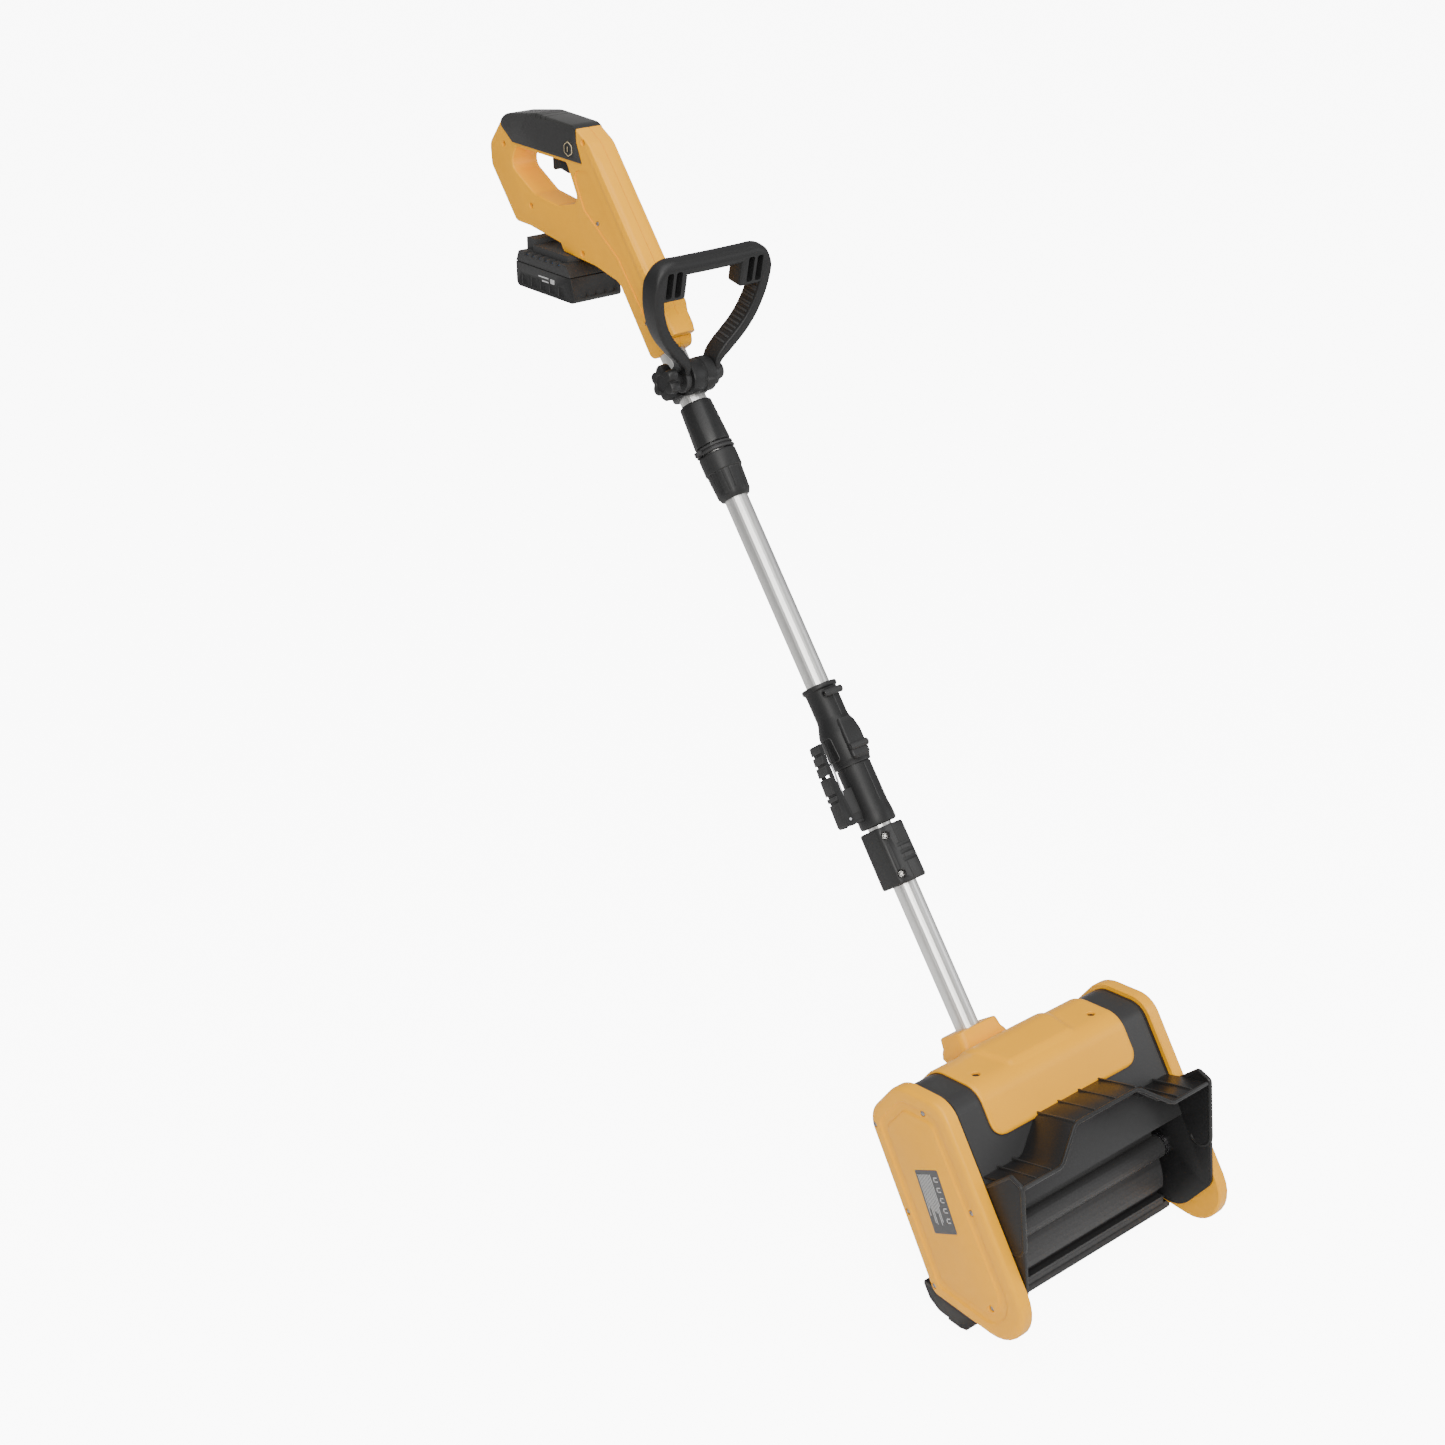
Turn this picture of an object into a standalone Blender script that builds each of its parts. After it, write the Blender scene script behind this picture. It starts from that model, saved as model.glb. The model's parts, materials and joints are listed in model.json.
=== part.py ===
"""A cordless snow shovel: a paddle rotor in a hooded head, a two-part telescopic pole with a
quick coupling, a loop handle clamped on it, and a rear handle that carries a slide-on battery.

Metres, +Z up. The head stands on its scraper bar on Z = 0, its mouth faces -Y, X runs across
it, and the pole leans back over +Y. The origin is the middle of the scraper bar's flat sole.
"""

import math

import bmesh
import bpy
from mathutils import Matrix, Vector

# ---------------------------------------------------------------- driving dimensions

GAP = 0.0003                    # air left between two pieces that touch
SLIDE_GAP = 0.0005              # air left round a piece that slides or turns

MOUTH_HALF = 0.145              # half the clearing width, between the cheek plates
CHEEK = 0.004                   # thickness of a cheek plate
COVER_DEPTH = 0.0172            # how far a side cover stands out from its cheek plate
COVER_WALL = 0.0025
PANEL_RISE = 0.0012             # raised panel on the side covers
SKIN = 0.003                    # wall of the rotor housing
SKIN_INSET = 0.006              # how far the housing lies inside the side covers' rim
TOP_COVER = 0.003               # thickness of the cover over the housing
TOP_COVER_HALF = 0.111
NECK = (0.030, 0.021)           # half width and half depth of the neck round the pole

ROTOR_AT = (-0.015, 0.102)      # Y and Z of the rotor's axis
ROTOR_R = 0.060
ROTOR_CLEAR = 0.0045            # between the rotor and its chamber
ROTOR_HUB_R = 0.014
ROTOR_END = 0.004               # between the rotor's end and the cheek plate
BLADE_SWEEP = 0.30              # how far the blades' tips lie back, in radians
SHAFT_R = 0.006
BEARING_R = 0.013
MOTOR_AT = (0.069, 0.211)       # Y and Z of the motor's axis
MOTOR_R = 0.024
MOTOR_LENGTH = 0.080
MOTOR_PULLEY_R = 0.010
ROTOR_PULLEY_R = 0.030
BELT = 0.003                    # thickness of the belt
BELT_WIDTH = 0.008

POLE_FOOT = (0.189, 0.281)      # Y and Z of the point that distances up the pole are taken from
POLE_RISE = math.radians(51.55)  # angle between the pole and the ground
TUBE_R = 0.014                  # lower and main tubes
TUBE_WALL = 0.0014
TUBE_SLIDE = 0.00035            # room round the main tube inside the outer tube
OUTER_TUBE_R = TUBE_R + TUBE_WALL + TUBE_SLIDE
LOWER_TUBE = (-0.108, 0.249)    # bottom and top of each tube, measured up the pole
MAIN_TUBE = (0.3015, 0.780)
OUTER_TUBE = (0.632, 0.965)
SPIGOT = (0.262, 0.290)         # plug of the quick coupling, in the socket above it
SPIGOT_R = 0.0175
BARREL_FOOT = 0.1885            # foot of the coupling's lower half, up the pole
LATCH_AT = (0.040, 0.207)       # distance from the pole's axis, and up the pole
LATCH_HALF = 0.009
LUG_R = 0.006                   # round end of the lug that the latch turns on
CLAMP_AT = 0.742                # loop handle's clamp, up the pole
CLAMP_OUT = 0.0225              # clamp bolt's distance from the pole's axis
CLAMP_DRUM_R = 0.0205           # drum that the ears turn beside
CLAMP_DRUM_HALF = 0.0165
EAR = 0.0075                    # thickness of the loop handle's ears
EAR_R = 0.0160                  # radius of the ears
EAR_WAY_R = 0.0195              # room that the ears and arms swing in
LOOP_LEAN = math.radians(11)    # loop handle leans forward from upright
LOOP_DEPTH = 0.026

HANDLE_HALF = 0.0192            # half the rear handle's width
HANDLE_WALL = 0.003
GRIP_SKIN = 0.0034              # soft skin on the grip
PACK_HALF = 0.035               # half the battery's width
PACK = ((0.815, 0.935), (0.924, 0.968))  # front and back, bottom and top of the battery
PACK_WALL = 0.0025

# Side outlines: corners as (Y, Z, radius), anticlockwise when seen with +Y to the right.
RIM = ((0.026, 0.029, 0.012), (0.138, 0.205, 0.030), (0.097, 0.264, 0.040),
       (0.0285, 0.272, 0.032), (-0.143, 0.029, 0.050))
SCRAPER = ((-0.030, 0.018, 0.001), (-0.019, 0.003, 0.002), (-0.009, 0.0, 0.0005),
           (0.009, 0.0, 0.0005), (0.011, 0.002, 0.0005), (0.024, 0.003, 0.004),
           (0.038, 0.010, 0.004), (0.048, 0.024, 0.002), (0.048, 0.0287, 0.0005),
           (-0.030, 0.0287, 0.0005))
HANDLE = ((0.690, 0.882, 0.002), (0.750, 0.962, 0.020), (0.795, 0.972, 0.006),
          (0.858, 0.977, 0.002), (0.864, 0.986, 0.002), (0.925, 0.995, 0.008),
          (0.955, 0.996, 0.010), (1.003, 1.056, 0.012), (1.005, 1.082, 0.016),
          (0.972, 1.122, 0.030), (0.905, 1.132, 0.060), (0.833, 1.129, 0.020),
          (0.803, 1.112, 0.030), (0.694, 0.975, 0.006), (0.671, 0.952, 0.004),
          (0.659, 0.904, 0.002))
GRIP_HOLE = ((0.825, 1.040, 0.010), (0.868, 1.030, 0.012), (0.915, 1.036, 0.020),
             (0.962, 1.062, 0.012), (0.950, 1.086, 0.010), (0.848, 1.084, 0.006))

COLOURS = {
    "yellow_shell": ((0.95, 0.52, 0.03), 0.35, 0.0),
    "black_shell": ((0.035, 0.036, 0.038), 0.45, 0.0),
    "soft_grip": ((0.03, 0.03, 0.031), 0.75, 0.0),
    "aluminium_tube": ((0.80, 0.80, 0.79), 0.35, 1.0),
    "steel_parts": ((0.60, 0.60, 0.60), 0.30, 1.0),
    "copper_cable": ((0.05, 0.05, 0.05), 0.55, 0.0),
    "belt_rubber": ((0.02, 0.02, 0.02), 0.80, 0.0),
}

# ---------------------------------------------------------------- tools

PARTS = "cordless_snow_shovel"
CUTTERS = "cutters"


def collection(name):
    found = bpy.data.collections.get(name)
    if found is None:
        found = bpy.data.collections.new(name)
        bpy.context.scene.collection.children.link(found)
    return found


def finish_of(slot):
    """The Principled material of one finish."""
    found = bpy.data.materials.get(slot)
    if found is None:
        colour, roughness, metallic = COLOURS[slot]
        found = bpy.data.materials.new(slot)
        found.use_nodes = True
        shader = found.node_tree.nodes["Principled BSDF"]
        shader.inputs["Base Color"].default_value = (*colour, 1.0)
        shader.inputs["Roughness"].default_value = roughness
        shader.inputs["Metallic"].default_value = metallic
    return found


def frame(name, location, parent=None, turn_x=0.0, turn_z=0.0):
    """An empty that holds one group of pieces, on its joint's axis where the group moves."""
    empty = bpy.data.objects.new(name, None)
    collection(PARTS).objects.link(empty)
    empty.parent = parent
    empty.location = location
    empty.rotation_euler = (turn_x, 0.0, turn_z)
    bpy.context.view_layer.update()
    return empty


def piece(name, mesh, slot, parent, placed=Matrix()):
    """A named object in its parent's frame. Without a slot it is a cutter, and isn't rendered."""
    obj = bpy.data.objects.new(name, mesh)
    collection(PARTS if slot else CUTTERS).objects.link(obj)
    obj.parent = parent
    obj.matrix_local = placed
    if slot:
        mesh.materials.append(finish_of(slot))
    else:
        obj.hide_render = True
        obj.display_type = "WIRE"
    bpy.context.view_layer.update()
    return obj


def rounded(corners, steps=4):
    """The points of an outline whose corners (a, b, radius) are turned by arcs."""
    points = []
    for i, (a, b, radius) in enumerate(corners):
        corner = Vector((a, b))
        before = Vector(corners[i - 1][:2]) - corner
        after = Vector(corners[(i + 1) % len(corners)][:2]) - corner
        half = before.angle(after) / 2
        radius = min(radius, 0.49 * min(before.length, after.length) * math.tan(half))
        if radius < 1e-5 or half > math.radians(89):
            points.append(corner)
            continue
        middle = (before.normalized() + after.normalized()).normalized()
        centre = corner + middle * radius / math.sin(half)
        start = corner + before.normalized() * radius / math.tan(half) - centre
        end = corner + after.normalized() * radius / math.tan(half) - centre
        sweep = start.angle_signed(end)
        for step in range(steps + 1):
            # A Vector2's angle_signed is clockwise, and so is a Matrix.Rotation by -angle.
            points.append(centre + Matrix.Rotation(-sweep * step / steps, 2) @ start)
    return [tuple(point) for point in points]


def inset(corners, depth):
    """The corners of an anticlockwise outline whose sides move inwards by depth."""
    moved = []
    count = len(corners)
    for i, (a, b, radius) in enumerate(corners):
        corner = Vector((a, b))
        into = (corner - Vector(corners[i - 1][:2])).normalized()
        out = (Vector(corners[(i + 1) % count][:2]) - corner).normalized()
        turn = into.x * out.y - into.y * out.x
        normals = Vector((-into.y, into.x)), Vector((-out.y, out.x))
        shift = (normals[0] + normals[1]) * depth / (1 + normals[0].dot(normals[1]))
        moved.append((*(corner + shift), max(radius - math.copysign(depth, turn), 0.0005)))
    return moved


def circle(a, b, radius, sides=24):
    return [(a + radius * math.cos(math.tau * i / sides), b + radius * math.sin(math.tau * i / sides))
            for i in range(sides)]


def arc(centre, radius, start, end, steps):
    """Points on an arc, from one angle to another, in degrees."""
    angles = (math.radians(start + (end - start) * i / steps) for i in range(steps + 1))
    return [(centre[0] + radius * math.cos(t), centre[1] + radius * math.sin(t)) for t in angles]


ACROSS_X = Matrix(((0, 0, 1, 0), (1, 0, 0, 0), (0, 1, 0, 0), (0, 0, 0, 1)))
ACROSS_Y = Matrix(((1, 0, 0, 0), (0, 0, -1, 0), (0, 1, 0, 0), (0, 0, 0, 1)))


def slab(name, loops, low, high, slot=None, parent=None, across=ACROSS_X):
    """Flat outlines given a thickness from low to high: (Y, Z) outlines along X as standard,
    or (X, Z) outlines along -Y. A loop inside another is a hole."""
    curve = bpy.data.curves.new(name, "CURVE")
    curve.dimensions = "2D"
    curve.fill_mode = "BOTH"
    curve.extrude = (high - low) / 2
    for loop in loops:
        spline = curve.splines.new("POLY")
        spline.points.add(len(loop) - 1)
        spline.points.foreach_set("co", [v for a, b in loop for v in (a, b, 0.0, 1.0)])
        spline.use_cyclic_u = True
    source = bpy.data.objects.new(name + "_outline", curve)
    collection(CUTTERS).objects.link(source)
    bpy.context.view_layer.update()
    graph = bpy.context.evaluated_depsgraph_get()
    mesh = bpy.data.meshes.new_from_object(source.evaluated_get(graph))
    bpy.data.objects.remove(source)
    mesh.transform(across @ Matrix.Translation((0, 0, (low + high) / 2)))
    weld(mesh)
    return piece(name, mesh, slot, parent)


def weld(mesh):
    """Joins a mesh's loose caps to its sides, and turns its faces outwards."""
    work = bmesh.new()
    work.from_mesh(mesh)
    bmesh.ops.remove_doubles(work, verts=work.verts, dist=1e-6)
    bmesh.ops.recalc_face_normals(work, faces=work.faces)
    work.to_mesh(mesh)
    work.free()


ALONG_X = Matrix.Rotation(math.radians(90), 4, "Y")


def turned(name, outer, inner=(), slot=None, parent=None, steps=24, placed=Matrix()):
    """A turned shape: outer (radius, height) points from the top down, and the inner side's
    points from the bottom up. Without an inner side the shape is solid to its axis."""
    profile = list(outer) + list(inner)
    closed = bool(inner)
    if not closed:
        profile = [(0.0, outer[0][1]), *outer, (0.0, outer[-1][1])]
    mesh = bpy.data.meshes.new(name)
    edges = [(i, i + 1) for i in range(len(profile) - 1)]
    if closed:
        edges.append((len(profile) - 1, 0))
    mesh.from_pydata([(r, 0.0, z) for r, z in profile], edges, [])
    obj = piece(name, mesh, slot, parent, placed)
    screw = obj.modifiers.new("turn", "SCREW")
    screw.steps = screw.render_steps = steps
    screw.use_merge_vertices = True
    screw.merge_threshold = 1e-5
    screw.use_smooth_shade = True
    return obj


def ring(name, r_out, r_in, low, high, slot=None, parent=None, steps=24, placed=Matrix()):
    return turned(name, [(r_out, high), (r_out, low)], [(r_in, low), (r_in, high)],
                  slot, parent, steps, placed)


def rod(name, radius, low, high, slot=None, parent=None, steps=20, placed=Matrix()):
    return turned(name, [(radius, high), (radius, low)], (), slot, parent, steps, placed)


def block(name, low, high, slot=None, parent=None, edge=0.0):
    """A box between two corners, with its edges rounded."""
    work = bmesh.new()
    bmesh.ops.create_cube(work, size=1.0)
    for vert in work.verts:
        for k in range(3):
            vert.co[k] = low[k] if vert.co[k] < 0 else high[k]
    mesh = bpy.data.meshes.new(name)
    work.to_mesh(mesh)
    work.free()
    obj = piece(name, mesh, slot, parent)
    if edge:
        soften(obj, edge)
    return obj


def soften(obj, width, segments=1, angle=50):
    """Breaks the edges that are sharper than the angle."""
    bevel = obj.modifiers.new("edges", "BEVEL")
    bevel.width = width
    bevel.segments = segments
    bevel.limit_method = "ANGLE"
    bevel.angle_limit = math.radians(angle)
    bevel.use_clamp_overlap = True


def boolean(obj, operation, tools):
    for tool in tools:
        modifier = obj.modifiers.new(tool.name, "BOOLEAN")
        modifier.operation = operation
        modifier.solver = "EXACT"
        modifier.object = tool


def cut(obj, *tools):
    boolean(obj, "DIFFERENCE", tools)


def join(obj, *tools):
    boolean(obj, "UNION", tools)


def half_space(name, sign, parent=None):
    """A cutter that removes all that lies on one side of the middle plane."""
    low, high = sorted((-sign * GAP / 2, sign * 0.2))
    return block(name, (low, -2.0, -2.0), (high, 2.0, 2.0), parent=parent)


def split(name, build, slot, parent=None):
    """The left and right halves of a clamshell: the build function makes each whole shape."""
    for side, sign in (("left", 1), ("right", -1)):
        shape = build(name + "_" + side, slot, parent)
        cut(shape, half_space(name + "_" + side + "_cut", sign, parent))


def side_line(corners, index):
    """One point and the direction of the side that starts at a corner."""
    start = Vector(corners[index][:2])
    end = Vector(corners[(index + 1) % len(corners)][:2])
    return start, (end - start).normalized()


def circle_meets(corners, index, centre, radius, sign):
    """Where a circle crosses the line through one side, on the far (1) or near (-1) side."""
    start, along = side_line(corners, index)
    foot = start + along * (Vector(centre) - start).dot(along)
    reach = math.sqrt(max(radius ** 2 - (foot - Vector(centre)).length_squared, 0.0))
    return foot + along * reach * sign


# ---------------------------------------------------------------- head

def build_housing():
    """The rotor's open chamber, and the closed space for the motor over it."""
    outer = inset(RIM, SKIN_INSET)
    inner = inset(RIM, SKIN_INSET + SKIN)
    chamber = ROTOR_R + ROTOR_CLEAR
    partition = chamber + SKIN + 0.001
    face_end = circle_meets(outer, 3, ROTOR_AT, chamber, -1)
    lip_y = SCRAPER[0][0]
    start = math.degrees(math.atan2(face_end.y - ROTOR_AT[1], face_end.x - ROTOR_AT[0]))
    lip = -90 - math.degrees(math.asin((ROTOR_AT[0] - lip_y) / chamber))
    bottom = outer[0][1]
    skin = [(lip_y, bottom, 0.0), *outer[:4], (*face_end, 0.0)]
    skin = rounded(skin) + arc(ROTOR_AT, chamber, start, lip, 26)[1:]
    motor_front = circle_meets(inner, 3, ROTOR_AT, partition, -1)
    motor_back = circle_meets(inner, 0, ROTOR_AT, partition, 1)
    front = math.degrees(math.atan2(motor_front.y - ROTOR_AT[1], motor_front.x - ROTOR_AT[0]))
    back = math.degrees(math.atan2(motor_back.y - ROTOR_AT[1], motor_back.x - ROTOR_AT[0]))
    space = rounded([(*motor_back, 0.0), *inner[1:4], (*motor_front, 0.0)])
    space += arc(ROTOR_AT, partition, front, back, 12)[1:-1]
    shell = slab("rotor_housing", [skin, space], -MOUTH_HALF, MOUTH_HALF, "black_shell")
    cut(shell, rod("housing_pole_hole", TUBE_R + GAP, -0.15, 0.0, parent=POLE))


def build_top_cover():
    """The cover over the housing, with its raised pad and the neck that takes the pole."""
    under = SKIN_INSET - GAP
    over = under - TOP_COVER
    cover = slab("top_cover", [rounded(inset(RIM, over)), rounded(inset(RIM, under))],
                 -TOP_COVER_HALF, TOP_COVER_HALF, "yellow_shell")
    pad = slab("top_pad", [rounded(inset(RIM, over - PANEL_RISE)), rounded(inset(RIM, under))],
               -0.060, 0.060)
    pad_end = slab("top_pad_end", [[(-0.2, -0.1), (0.4, -0.1), (0.4, 0.205), (0.10, 0.255),
                                    (0.030, 0.247), (-0.2, 0.262)]], -0.2, 0.2)
    cut(pad, pad_end)
    edge = slab("top_cover_edge", [[(-0.2, -0.1), (0.4, -0.1), (0.4, 0.201), (0.117, 0.208),
                                    (0.024, 0.224), (-0.2, 0.367)]], -0.2, 0.2)
    neck = block("top_neck", (-NECK[0], -NECK[1], LOWER_TUBE[0] - 0.004),
                 (NECK[0], NECK[1], -0.058), parent=POLE, edge=0.006)
    under_neck = slab("top_neck_end", [rounded(inset(RIM, under))], -0.2, 0.2)
    cut(neck, under_neck)
    join(cover, pad)
    cut(cover, edge)
    join(cover, neck)
    cut(cover, rod("top_neck_bore", TUBE_R + GAP, LOWER_TUBE[0] - GAP, 0.1, parent=POLE))


def build_side_cover(side, sign):
    """A hollow cover over a cheek plate, with a raised panel. The left one holds the belt."""
    near = MOUTH_HALF + GAP + CHEEK + GAP
    face = near + COVER_DEPTH
    name = side + "_side_cover"

    def across(a, b):
        return sorted((sign * a, sign * b))

    cover = slab(name, [rounded(RIM)], *across(near, face), "yellow_shell")
    soften(cover, 0.0035, 2)
    panel = slab(name + "_panel", [rounded(inset(RIM, 0.019))],
                 *across(face - 0.001, face + PANEL_RISE))
    pocket = slab(name + "_pocket", [rounded(inset(RIM, COVER_WALL + 0.001))],
                  *across(near - 0.01, face - COVER_WALL))
    join(cover, panel)
    cut(cover, pocket)


def cheek_outline():
    """The housing's side, with the part that reaches forward beside the mouth."""
    rim = inset(RIM, SKIN_INSET)
    start, along = side_line(rim, 3)
    root = start + along * ((0.190 - start.y) / along.y)
    forward = [(*root, 0.0), (-0.057, 0.226, 0.004), (-0.074, 0.221, 0.006),
               (-0.092, 0.091, 0.020), (-0.053, rim[0][1], 0.040)]
    return rounded([*rim[:4], *forward])


def build_cheek(side, sign):
    """The flat side wall of the mouth. It holds a rotor bearing, and on the left the motor."""
    holes = [circle(*ROTOR_AT, BEARING_R + GAP)]
    if side == "left":
        holes.append(circle(*MOTOR_AT, MOTOR_PULLEY_R + BELT))
    low, high = sorted((sign * (MOUTH_HALF + GAP), sign * (MOUTH_HALF + GAP + CHEEK)))
    slab(side + "_cheek_plate", [cheek_outline(), *holes], low, high, "black_shell")


def build_hood():
    """The deflector over the mouth: an arched sheet that rises forward, with three ribs."""
    rim = inset(RIM, SKIN_INSET)
    start, down = side_line(rim, 3)
    top = start + down * ((0.232 - start.y) / down.y)
    ahead = Vector((down.y, -down.x))
    half = MOUTH_HALF - 0.001
    outline = [(-half, 0.042), (-0.087, 0.042), (-0.048, 0.010), (0.048, 0.010),
               (0.087, 0.042), (half, 0.042)]
    rows = [(0.0006, 0.0), (0.056, 0.016)]
    points = []
    for reach, drop in rows:
        for x, depth in outline:
            point = top + down * (depth + drop) + ahead * reach
            points.append((x, point.x, point.y))
    count = len(outline)
    faces = [(i, i + 1, i + 1 + count, i + count) for i in range(count - 1)]
    mesh = bpy.data.meshes.new("hood")
    mesh.from_pydata(points, [], faces)
    hood = piece("hood", mesh, "black_shell", None)
    sheet = hood.modifiers.new("sheet", "SOLIDIFY")
    sheet.thickness = 0.0028
    sheet.offset = 0.0
    sheet.use_even_offset = True
    for i, x in enumerate((-0.048, -0.016, 0.016, 0.048)):
        low = top + down * 0.006 + ahead * 0.0012
        high = top + down * 0.026 + ahead * 0.055
        side = down * 0.004
        loop = [tuple(low), tuple(high), tuple(high + side), tuple(low + side)]
        join(hood, slab("hood_rib_" + str(i), [loop], x - 0.0011, x + 0.0011))


def build_scraper():
    """The wear bar along the lower lip, which the head stands on."""
    ends = MOUTH_HALF + CHEEK + 0.009
    bar = slab("scraper_bar", [rounded(SCRAPER, 2)], -ends, ends, "black_shell")
    lift = block("scraper_lift", (-MOUTH_HALF, SCRAPER[0][0], 0.027),
                 (MOUTH_HALF, RIM[0][0] - 0.002, RIM[0][1] + SKIN_INSET - GAP))
    join(bar, lift)


def blade_outline(inner_r, outer_r, sides):
    """A blade from one radius to another, between two distances beside the rotor's curved
    radial line, which sweeps back towards the tip."""
    rows = []
    for side in sides:
        row = []
        for i in range(6):
            r = inner_r + (outer_r - inner_r) * i / 5
            lag = BLADE_SWEEP * ((r - ROTOR_HUB_R) / (ROTOR_R - ROTOR_HUB_R)) ** 2
            row.append((r * math.cos(lag) - side * math.sin(lag),
                        r * math.sin(lag) + side * math.cos(lag)))
        rows.append(row)
    return rows[0] + rows[1][::-1]


def build_rotor():
    """The two-blade rotor, its shaft, bearings and pulley, all on one axis."""
    ends = MOUTH_HALF - ROTOR_END
    arm = (-0.003, 0.003)
    strip = (0.003 + GAP, 0.007)
    core = ring("rotor_core", ROTOR_HUB_R, SHAFT_R + GAP, -ends, ends, "black_shell", ROTOR,
                placed=ALONG_X)
    for i, turn in enumerate((0, 180)):
        turner = Matrix.Rotation(math.radians(turn + 62), 2)
        blade = blade_outline(ROTOR_HUB_R - 0.002, ROTOR_R - 0.012, arm)
        points = [tuple(turner @ Vector(p)) for p in blade]
        join(core, slab("rotor_arm_" + str(i), [points], -ends + 0.004, ends - 0.004,
                        parent=ROTOR))
        paddle = blade_outline(ROTOR_R - 0.026, ROTOR_R, strip)
        points = [tuple(turner @ Vector(p)) for p in paddle]
        slab("rotor_paddle_" + "ab"[i], [points], -ends, ends, "belt_rubber", ROTOR)
    near = MOUTH_HALF + GAP + CHEEK
    rod("rotor_shaft", SHAFT_R, -near - COVER_DEPTH + COVER_WALL + 0.001, near + 0.006,
        "steel_parts", ROTOR, placed=ALONG_X)
    for side, sign in (("left", -1), ("right", 1)):
        low, high = sorted((sign * (near - CHEEK - 0.0015), sign * (near + 0.0015)))
        ring(side + "_bearing", BEARING_R, SHAFT_R + GAP, low, high, "steel_parts", None,
             placed=Matrix.Translation((0, *ROTOR_AT)) @ ALONG_X)
    pulley("rotor_pulley", ROTOR_PULLEY_R, SHAFT_R + GAP, ROTOR)


def belt_span():
    """The belt's two edges along X, in the left side cover."""
    near = -(MOUTH_HALF + GAP + CHEEK + 0.004)
    return near - BELT_WIDTH, near


def pulley(name, radius, bore, parent):
    low, high = belt_span()
    flange = 0.0012
    ring(name, radius, bore, low - flange, high + flange, "steel_parts", parent,
         placed=ALONG_X)


def build_drive():
    """The motor, its pulley and the belt down to the rotor."""
    front = -(MOUTH_HALF - 0.001)
    place = Matrix.Translation((0, *MOTOR_AT)) @ ALONG_X
    turned("drive_motor", [(0.010, front + MOTOR_LENGTH + 0.006),
                           (0.010, front + MOTOR_LENGTH), (MOTOR_R, front + MOTOR_LENGTH),
                           (MOTOR_R, front + 0.004), (MOTOR_R - 0.004, front)], (),
           "steel_parts", None, placed=place)
    low, high = belt_span()
    turned("motor_pulley", [(0.0025, front - GAP), (0.0025, high + 0.0012),
                            (MOTOR_PULLEY_R, high + 0.0012), (MOTOR_PULLEY_R, low - 0.0012)],
           (), "steel_parts", MOTOR, placed=ALONG_X)
    slab("drive_belt", [belt_loop(GAP + BELT), belt_loop(GAP)], low, high, "belt_rubber")


def belt_loop(lift):
    """The outline round both pulleys, at a distance from them."""
    rotor, motor = Vector(ROTOR_AT), Vector(MOTOR_AT)
    span = motor - rotor
    lean = math.degrees(math.atan2(span.y, span.x))
    wrap = math.degrees(math.acos((ROTOR_PULLEY_R - MOTOR_PULLEY_R) / span.length))
    return (arc(ROTOR_AT, ROTOR_PULLEY_R + lift, lean + wrap, lean + 360 - wrap, 14)
            + arc(MOTOR_AT, MOTOR_PULLEY_R + lift, lean - wrap, lean + wrap, 8))


# ---------------------------------------------------------------- pole

def tube(name, radius, ends, parent):
    ring(name, radius, radius - TUBE_WALL, *ends, "aluminium_tube", parent, 32)


def collar_half(name, slot, parent):
    """The stepped block clamped round the lower tube, under the coupling."""
    body = block(name, (-0.021, -0.0215, 0.117), (0.021, 0.0195, 0.1855), slot, parent, 0.007)
    cut(body, rod(name + "_bore", TUBE_R + GAP, 0.1, 0.2, parent=parent))
    return body


def build_coupling_barrel():
    """The lower half of the quick coupling: it grips the lower tube, and its spigot goes up
    into the socket. The lug on its left carries the latch."""
    out, up = LATCH_AT
    low, high = SPIGOT
    barrel = turned("coupling_barrel",
                    [(SPIGOT_R, high), (SPIGOT_R, low), (0.0205, low - GAP), (0.0205, 0.214),
                     (0.0218, 0.201), (0.0218, 0.192), (0.0195, BARREL_FOOT)],
                    [(TUBE_R + GAP, BARREL_FOOT), (TUBE_R + GAP, LOWER_TUBE[1] + GAP),
                     (0.0125, LOWER_TUBE[1] + GAP), (0.0125, high)], "black_shell", POLE)
    lug = block("latch_lug", (-out, -LATCH_HALF + 0.003, up - LUG_R * 0.97),
                (-0.017, LATCH_HALF - 0.003, up + LUG_R * 0.97), parent=POLE)
    nose = rod("latch_lug_nose", LUG_R, -LATCH_HALF + 0.0028, LATCH_HALF - 0.0028,
               parent=LATCH, placed=ALONG_X)
    join(barrel, lug, nose)
    cut(barrel, rod("latch_lug_bore", 0.002 + GAP, -0.02, 0.02, parent=LATCH,
                    placed=ALONG_X))


def socket_half(name, slot, parent):
    """The upper half of the quick coupling, with its screw bosses on the front."""
    low = SPIGOT[0] + GAP
    body = turned(name, [(0.0195, 0.361), (0.021, 0.359), (0.021, 0.356), (0.0188, 0.352),
                         (0.0186, 0.318), (0.0235, 0.304), (0.0235, 0.268), (0.0215, low)],
                  [(SPIGOT_R + SLIDE_GAP, low), (SPIGOT_R + SLIDE_GAP, MAIN_TUBE[0] - 0.0015),
                   (TUBE_R + GAP, MAIN_TUBE[0] - 0.0015), (TUBE_R + GAP, 0.361)], slot, parent)
    for i, (height, reach) in enumerate(((0.348, 0.0205), (0.281, 0.0255))):
        boss = rod(name + "_boss_" + str(i), 0.0042, -0.013, 0.013, parent=parent, steps=12,
                   placed=Matrix.Translation((0, -reach, height)) @ ALONG_X)
        join(body, boss)
    return body


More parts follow.
